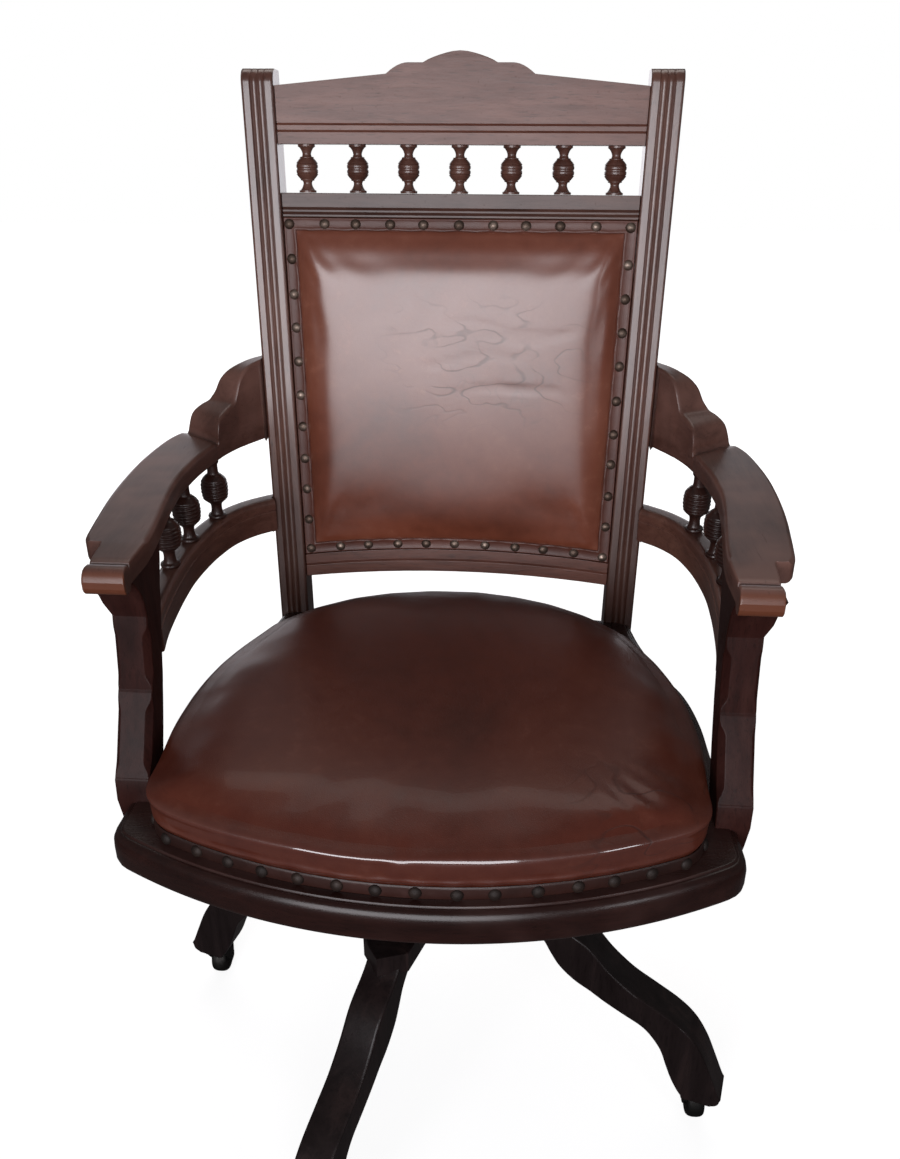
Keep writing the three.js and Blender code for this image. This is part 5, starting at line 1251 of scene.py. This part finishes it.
def add_seat_border(materials):
    """The strip round the cushion's foot, its top edge turned in, and a nail every 35 millimetres."""
    outline = inward(bowed_outline(**CUSHION, count=480), -0.3)
    low, high = CUSHION_FOOT, CUSHION_FOOT + BAND_HEIGHT
    count = len(outline)
    wave = 0.35 * np.sin(np.arange(count) * TAU / 11) + 0.25 * np.sin(np.arange(count) * 0.31)
    rings = []
    for out, up in [(0, low), (1.6, low), (2.0, low + 2), (2.1, low + 6), (1.9, high - 2.5),
                    (1.4, high - 0.8), (0.6, high), (0, high - 0.5)]:
        place = inward(outline, -out)
        lift = (up - low) / (high - low)
        level = up + wave * lift * (0.9 if 0 < lift < 1 else 0.4)
        rings.append(np.concatenate([place, np.broadcast_to(level, count)[:, None]], -1))
    # The strip's dark colour is painted shade.
    add_piece("leather_seat_strip", [ringed(np.array(rings) * MM)], materials["shaded_seat_strip_hide"], "seat",
              ["seat_band"], 40)
    line = inward(outline, -2.2)
    closed = np.concatenate([line, line[:1]])
    length = walked(closed)
    total = length[-1]
    number = round(total / 35)
    rng = np.random.default_rng(9)
    spots = (np.arange(number) * total / number + rng.normal(0, 1.2, number)) % total
    x, y = (np.interp(spots, length, closed[:, k]) for k in (0, 1))
    ahead = np.stack([np.interp((spots + 2) % total, length, closed[:, k]) for k in (0, 1)], -1)
    ahead = unit(ahead - np.stack([x, y], -1))
    outside = np.stack([ahead[:, 1], -ahead[:, 0], np.full(number, 0.12)], -1)
    places = np.stack([x, y, low + 6 + rng.normal(0, 0.5, number)], -1) * MM
    # The nails' dark colour is painted shade.
    add_piece("seat_nails", nails_along(places, outside), materials["shaded_seat_nail"], "seat", (), 60)


# Base

FOOT, LEG_REACH, LEG_TOP, LEG_WIDTH, CASTOR_INSET = 54.3, 340, 322, 38, 25.5
LEG_UPPER = [
    (0.13, 0.985), (0.235, 0.96), (0.35, 0.88), (0.43, 0.79), (0.521, 0.72), (0.588, 0.627), (0.638, 0.569),
    (0.682, 0.528), (0.744, 0.485), (0.826, 0.425), (0.882, 0.362), (0.926, 0.272), (0.959, 0.172),
    (0.988, 0.078), (1, 0.045), (1, 0.045), (0.994, 0.015), (0.974, 0), (0.974, 0), (0.93, 0),
]
LEG_LOWER = [
    (0.13, 0.791), (0.259, 0.78), (0.329, 0.746), (0.376, 0.694), (0.403, 0.634), (0.435, 0.571),
    (0.485, 0.515), (0.538, 0.478), (0.591, 0.437), (0.653, 0.397), (0.715, 0.358), (0.753, 0.313),
    (0.788, 0.246), (0.81, 0.17), (0.832, 0.097), (0.856, 0.037), (0.876, 0), (0.876, 0), (0.9, 0), (0.93, 0),
]


def leg():
    """Slices between the leg's upper and lower lines, each a rectangle with softened corners."""
    def line(shares):
        return smooth_line(shares, 5) * (LEG_REACH, LEG_TOP - FOOT) + (0, FOOT)
    upper, lower = line(LEG_UPPER)[:-1], line(LEG_LOWER)[:-1]
    half = LEG_WIDTH / 2
    ease = 3.0
    gap = np.maximum(np.linalg.norm(upper - lower, axis=1, keepdims=True), 1e-6)
    down = (lower - upper) / gap
    soft = np.minimum(ease, 0.3 * gap)
    angle = np.linspace(0, math.pi / 2, 4)
    rings = []
    for side, end in [(1, 0), (-1, 0), (-1, 1), (1, 1)]:
        turn = angle if side * (1 - 2 * end) > 0 else angle[::-1]
        across = side * (half - ease + ease * np.cos(turn))
        depth = soft * (1 - np.sin(turn))[None]
        corner = upper if end == 0 else lower
        sign = 1 if end == 0 else -1
        flat = corner[:, None] + sign * down[:, None] * depth[..., None]
        level = np.broadcast_to(across, flat.shape[:2])
        rings.append(np.stack([flat[..., 0], level, flat[..., 1]], -1))
    return loft(np.concatenate(rings, 1) * MM)


def shoulder():
    """The broad block over the leg's root, with a pointed outer end and eased edges."""
    half, near, reach, nose = 26, 40, 130, 20
    plan = np.array([(near, -half), (reach, -half), (reach + nose, 0), (reach, half), (near, half)], float)
    middle = plan.mean(0)
    rings = []
    towards_middle = unit(middle - plan)
    for shrink, z in [(1.2, 267), (0, 268.2), (0, 291.4), (0.5, 292.6), (1.6, 293)]:
        rings.append(at_height(plan + towards_middle * shrink, z))
    return loft(np.array(rings) * MM)


def add_base(materials):
    """Four sawn legs, each with its shoulder, round a turned hub."""
    for place, bearing in LEG_BEARINGS.items():
        turn = Matrix.Rotation(math.radians(bearing), 4, "Z")
        add_piece(f"sawn_leg_{place}", [moved(leg(), turn), moved(shoulder(), turn)], materials["leg"],
                  "base", [f"leg_{place}"], 34)
    hub = smooth_line([(0.2, 232), (14, 232), (14, 232), (28, 234), (36, 240), (38, 247), (38, 247),
                       (41, 249), (47, 256), (51, 263), (51, 263), (51, 300), (51, 329), (51, 329),
                       (49, 331), (47, 332), (47, 332), (47, 337), (47, 337), (46, 338), (20, 338),
                       (20, 338), (0.2, 338)], 4)
    add_piece("turned_base_hub", [turned(hub, 72)], materials["leg"], "base", ["base_hub"], 40)
    eased("hub_bush", materials["iron"], 0.8)


def castor_at(place):
    """A castor's stem, in from its leg's tip."""
    reach = LEG_REACH - CASTOR_INSET
    angle = math.radians(LEG_BEARINGS[place])
    return Matrix.Translation((reach * math.cos(angle) * MM, reach * math.sin(angle) * MM, 0))


def add_castors(materials):
    """Each castor: a wheel with a raised hub and rounded tread, a fork horn and a pressed cup."""
    tread = [(3.5, -10), (9, -10), (9, -10), (10, -8), (15.5, -8), (15.5, -8), (17, -10), (19, -9.6),
             (21, -7), (21.9, -3), (22, 0), (21.9, 3), (21, 7), (19, 9.6), (17, 10), (15.5, 8), (15.5, 8),
             (10, 8), (9, 10), (9, 10), (3.5, 10)]
    wheel = smooth_line(tread, 3)
    cup = smooth_line([(0.2, 51), (13, 51), (15, 51.4), (16, 52.6), (15.4, 53.8), (13.4, 54), (13.4, 54),
                       (12, 54), (0.2, 54)], 3)
    lay = Matrix.Translation((0, 14 * MM, 22 * MM)) @ Matrix.Rotation(math.pi / 2, 4, "Y")
    for place in LEG_BEARINGS:
        spot = castor_at(place)
        add_piece(f"cast_castor_wheel_{place}", [moved(turned(wheel, 56), spot @ lay)], materials["iron"],
                  f"wheel_{place}", [f"castor_wheel_{place}"], 34)
        add_piece(f"pressed_castor_cup_{place}", [moved(turned(cup, 48), spot)], materials["brass"],
                  "base", [f"castor_cup_{place}"], 40)
        eased(f"castor_horn_{place}", materials["iron"], 0.7)


# Column, tilting iron and knob

def screw_thread():
    """A ridge wound up the shaft: r = R - d + d (triangle wave of z / pitch - a / turn), keyway aside."""
    pitch, outer, depth, low, high = 10.0, 13.0, 1.6, 193.0, 360.0
    sides, rows = 64, 340
    z, angle = np.meshgrid(np.linspace(low, high, rows), angles_round(sides), indexing="ij")
    phase = (z / pitch - angle / TAU) % 1
    crest = np.clip(1.6 * (1 - np.abs(2 * phase - 1)) - 0.15, 0, 1)
    fade = np.clip((z - low) / 4, 0, 1) * np.clip((high - z) / 4, 0, 1)
    radius = outer - depth + depth * crest * fade
    return loft(about_axis(radius, angle, z) * MM)


def hand_wheel():
    """A wavy rim, r = R + d cos 12a, four spokes with a swelling at each end, and a hub with two collars."""
    low, high, middle = 343.6, 362.6, 353.1
    around = angles_round(96)[:, None]
    ring = rounded_section(10, 10, 4.9, 6)
    wavy = 57 + 1.1 * np.cos(around * 12)
    rim = about_axis(wavy + ring[:, 0], around, middle + ring[:, 1])
    boss = smooth_line([(13.5, low), (22, low), (24, low + 1.5), (24, low + 4), (21, low + 7), (21, high - 7),
                        (24, high - 4), (24, high - 1.5), (22, high), (13.5, high)], 4)
    hub = about_axis(boss[:, 0, None], angles_round(56), boss[:, 1, None])
    spoke = smooth_line([(0.2, 19), (5, 19), (4.6, 24), (3.8, 38), (4.4, 52), (5, 56), (0.2, 56)], 4)
    spokes = [moved(turned(spoke, 20), Matrix.Translation((0, 0, middle * MM))
                    @ Matrix.Rotation(k * TAU / 4, 4, "Z") @ Matrix.Rotation(math.pi / 2, 4, "Y"))
              for k in range(4)]
    return [ringed(rim * MM), ringed(hub * MM), *spokes]


def add_column(materials):
    """The screw, its hand wheel, the tilting iron with its spring, and the tension knob."""
    head = smooth_line([(0.2, 359), (13, 359), (13, 365.6), (13, 365.6), (19.4, 366), (20, 366.8),
                        (20, 371), (19.4, 372), (19.4, 372), (11, 372), (11, 372), (11, 390.3),
                        (11, 390.3), (16.4, 390.4), (17, 391), (17, 395.4), (16, 396.3), (16, 396.3),
                        (0.2, 396.3)], 3)
    tip = smooth_line([(0.2, 186), (10.4, 186), (10.4, 186), (11.4, 188), (11.4, 193.5), (11.4, 193.5),
                       (0.2, 193.5)], 3)
    add_piece("threaded_height_screw", [screw_thread(), turned(head, 48), turned(tip, 48)],
              materials["steel"], "screw", ["height_screw"], 40)
    add_piece("cast_hand_wheel", hand_wheel(), materials["iron"], "hand_wheel",
              ["height_hand_wheel"], 40)
    for node in ("swivel_yoke", "seat_iron", "tilt_pin", "tension_bolt"):
        eased(node, materials["iron"], 0.9)
    spring = add_piece("wound_tilt_spring", [coil()], materials["steel"], None, ["tilt_spring"], 40)
    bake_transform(spring)
    add_piece("lobed_tension_knob", knob(), materials["iron"], "tension_knob", ["tension_knob"], 40)


SPRING_Y = -105


def coil():
    """A round wire along a helix: centre = (R cos a, R sin a, z(t)), with z(t) = t - 0.055 sin(2 pi t).

    That lays the end turns closer, so that the middle ones stay apart when the seat tilts.
    """
    t = np.linspace(0, 1, 360)
    turns, radius, wire = 5.4, 15.0, 2.2
    angle = t * turns * TAU
    foot, height = 345.7, 50
    z = foot + wire + (height - 2 * wire) * (t - 0.055 * np.sin(TAU * t))
    centre = np.stack([radius * np.cos(angle), SPRING_Y + radius * np.sin(angle), z], -1)
    ahead = unit(np.gradient(centre, axis=0))
    outside = np.stack([np.cos(angle), np.sin(angle), 0 * angle], -1)
    across = np.cross(ahead, outside)
    turn = angles_round(12)
    rings = centre[:, None] + wire * (np.cos(turn)[None, :, None] * outside[:, None]
                                      + np.sin(turn)[None, :, None] * across[:, None])
    return loft(rings * MM)


def knob():
    """A star knob, r = R + d cos 6a, under a round washer."""
    angle = angles_round(72)
    rings = []
    for share, z in [(0.7, 329.4), (0.93, 330), (1, 332), (1, 338), (0.93, 341), (0.75, 342.6)]:
        radius = share * (15.6 + 1.4 * np.cos(6 * angle))
        rings.append(about_axis(radius, angle, z))
    star = loft(np.array(rings) * MM)
    washer = turned(smooth_line([(0.2, 342.4), (18.4, 342.4), (19, 343), (19, 344.8), (18.4, 345.4),
                                 (0.2, 345.4)], 3), 48)
    spot = Matrix.Translation((0, SPRING_Y * MM, 0))
    return [moved(star, spot), moved(washer, spot)]


def domed(place):
    """The crest's middle lobe falls away from its centre: z' = z - 20 mm s^2 (1 - s), s = |x| / 40 mm."""
    share = abs(place.x) / 0.04
    if share < 1 and place.z > 1.085:
        place.z -= 0.02 * share**2 * (1 - share)


def add_joinery(materials):
    """The posts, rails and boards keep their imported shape, with every arris softened."""
    post = back_post()
    for side, sign in SIDES.items():
        add_piece(f"reeded_back_post_{side}", [post if sign > 0 else flipped(post)], materials["post"],
                  "seat", [f"back_post_{side}"], 30)
    eased("crest_rail", materials["crest"], 1.4, reshape=domed)
    eased("middle_rail", materials["rail"], 0.6)
    eased("lower_rail", materials["low_rail"], 0.6)
    eased("seat_board", materials["frame"], 0.6)
    eased("back_board", materials["rail"], 0.6)
    eased("outside_back", materials["outside_hide"], 0.8)


add_camera()
add_studio()
finishes = make_materials()
add_joinery(finishes)
add_back_spindles(finishes)
add_back_pad(finishes)
add_back_border(finishes)
add_arms(finishes)
add_seat_frame(finishes)
add_seat_cushion(finishes)
add_seat_border(finishes)
add_base(finishes)
add_castors(finishes)
add_column(finishes)
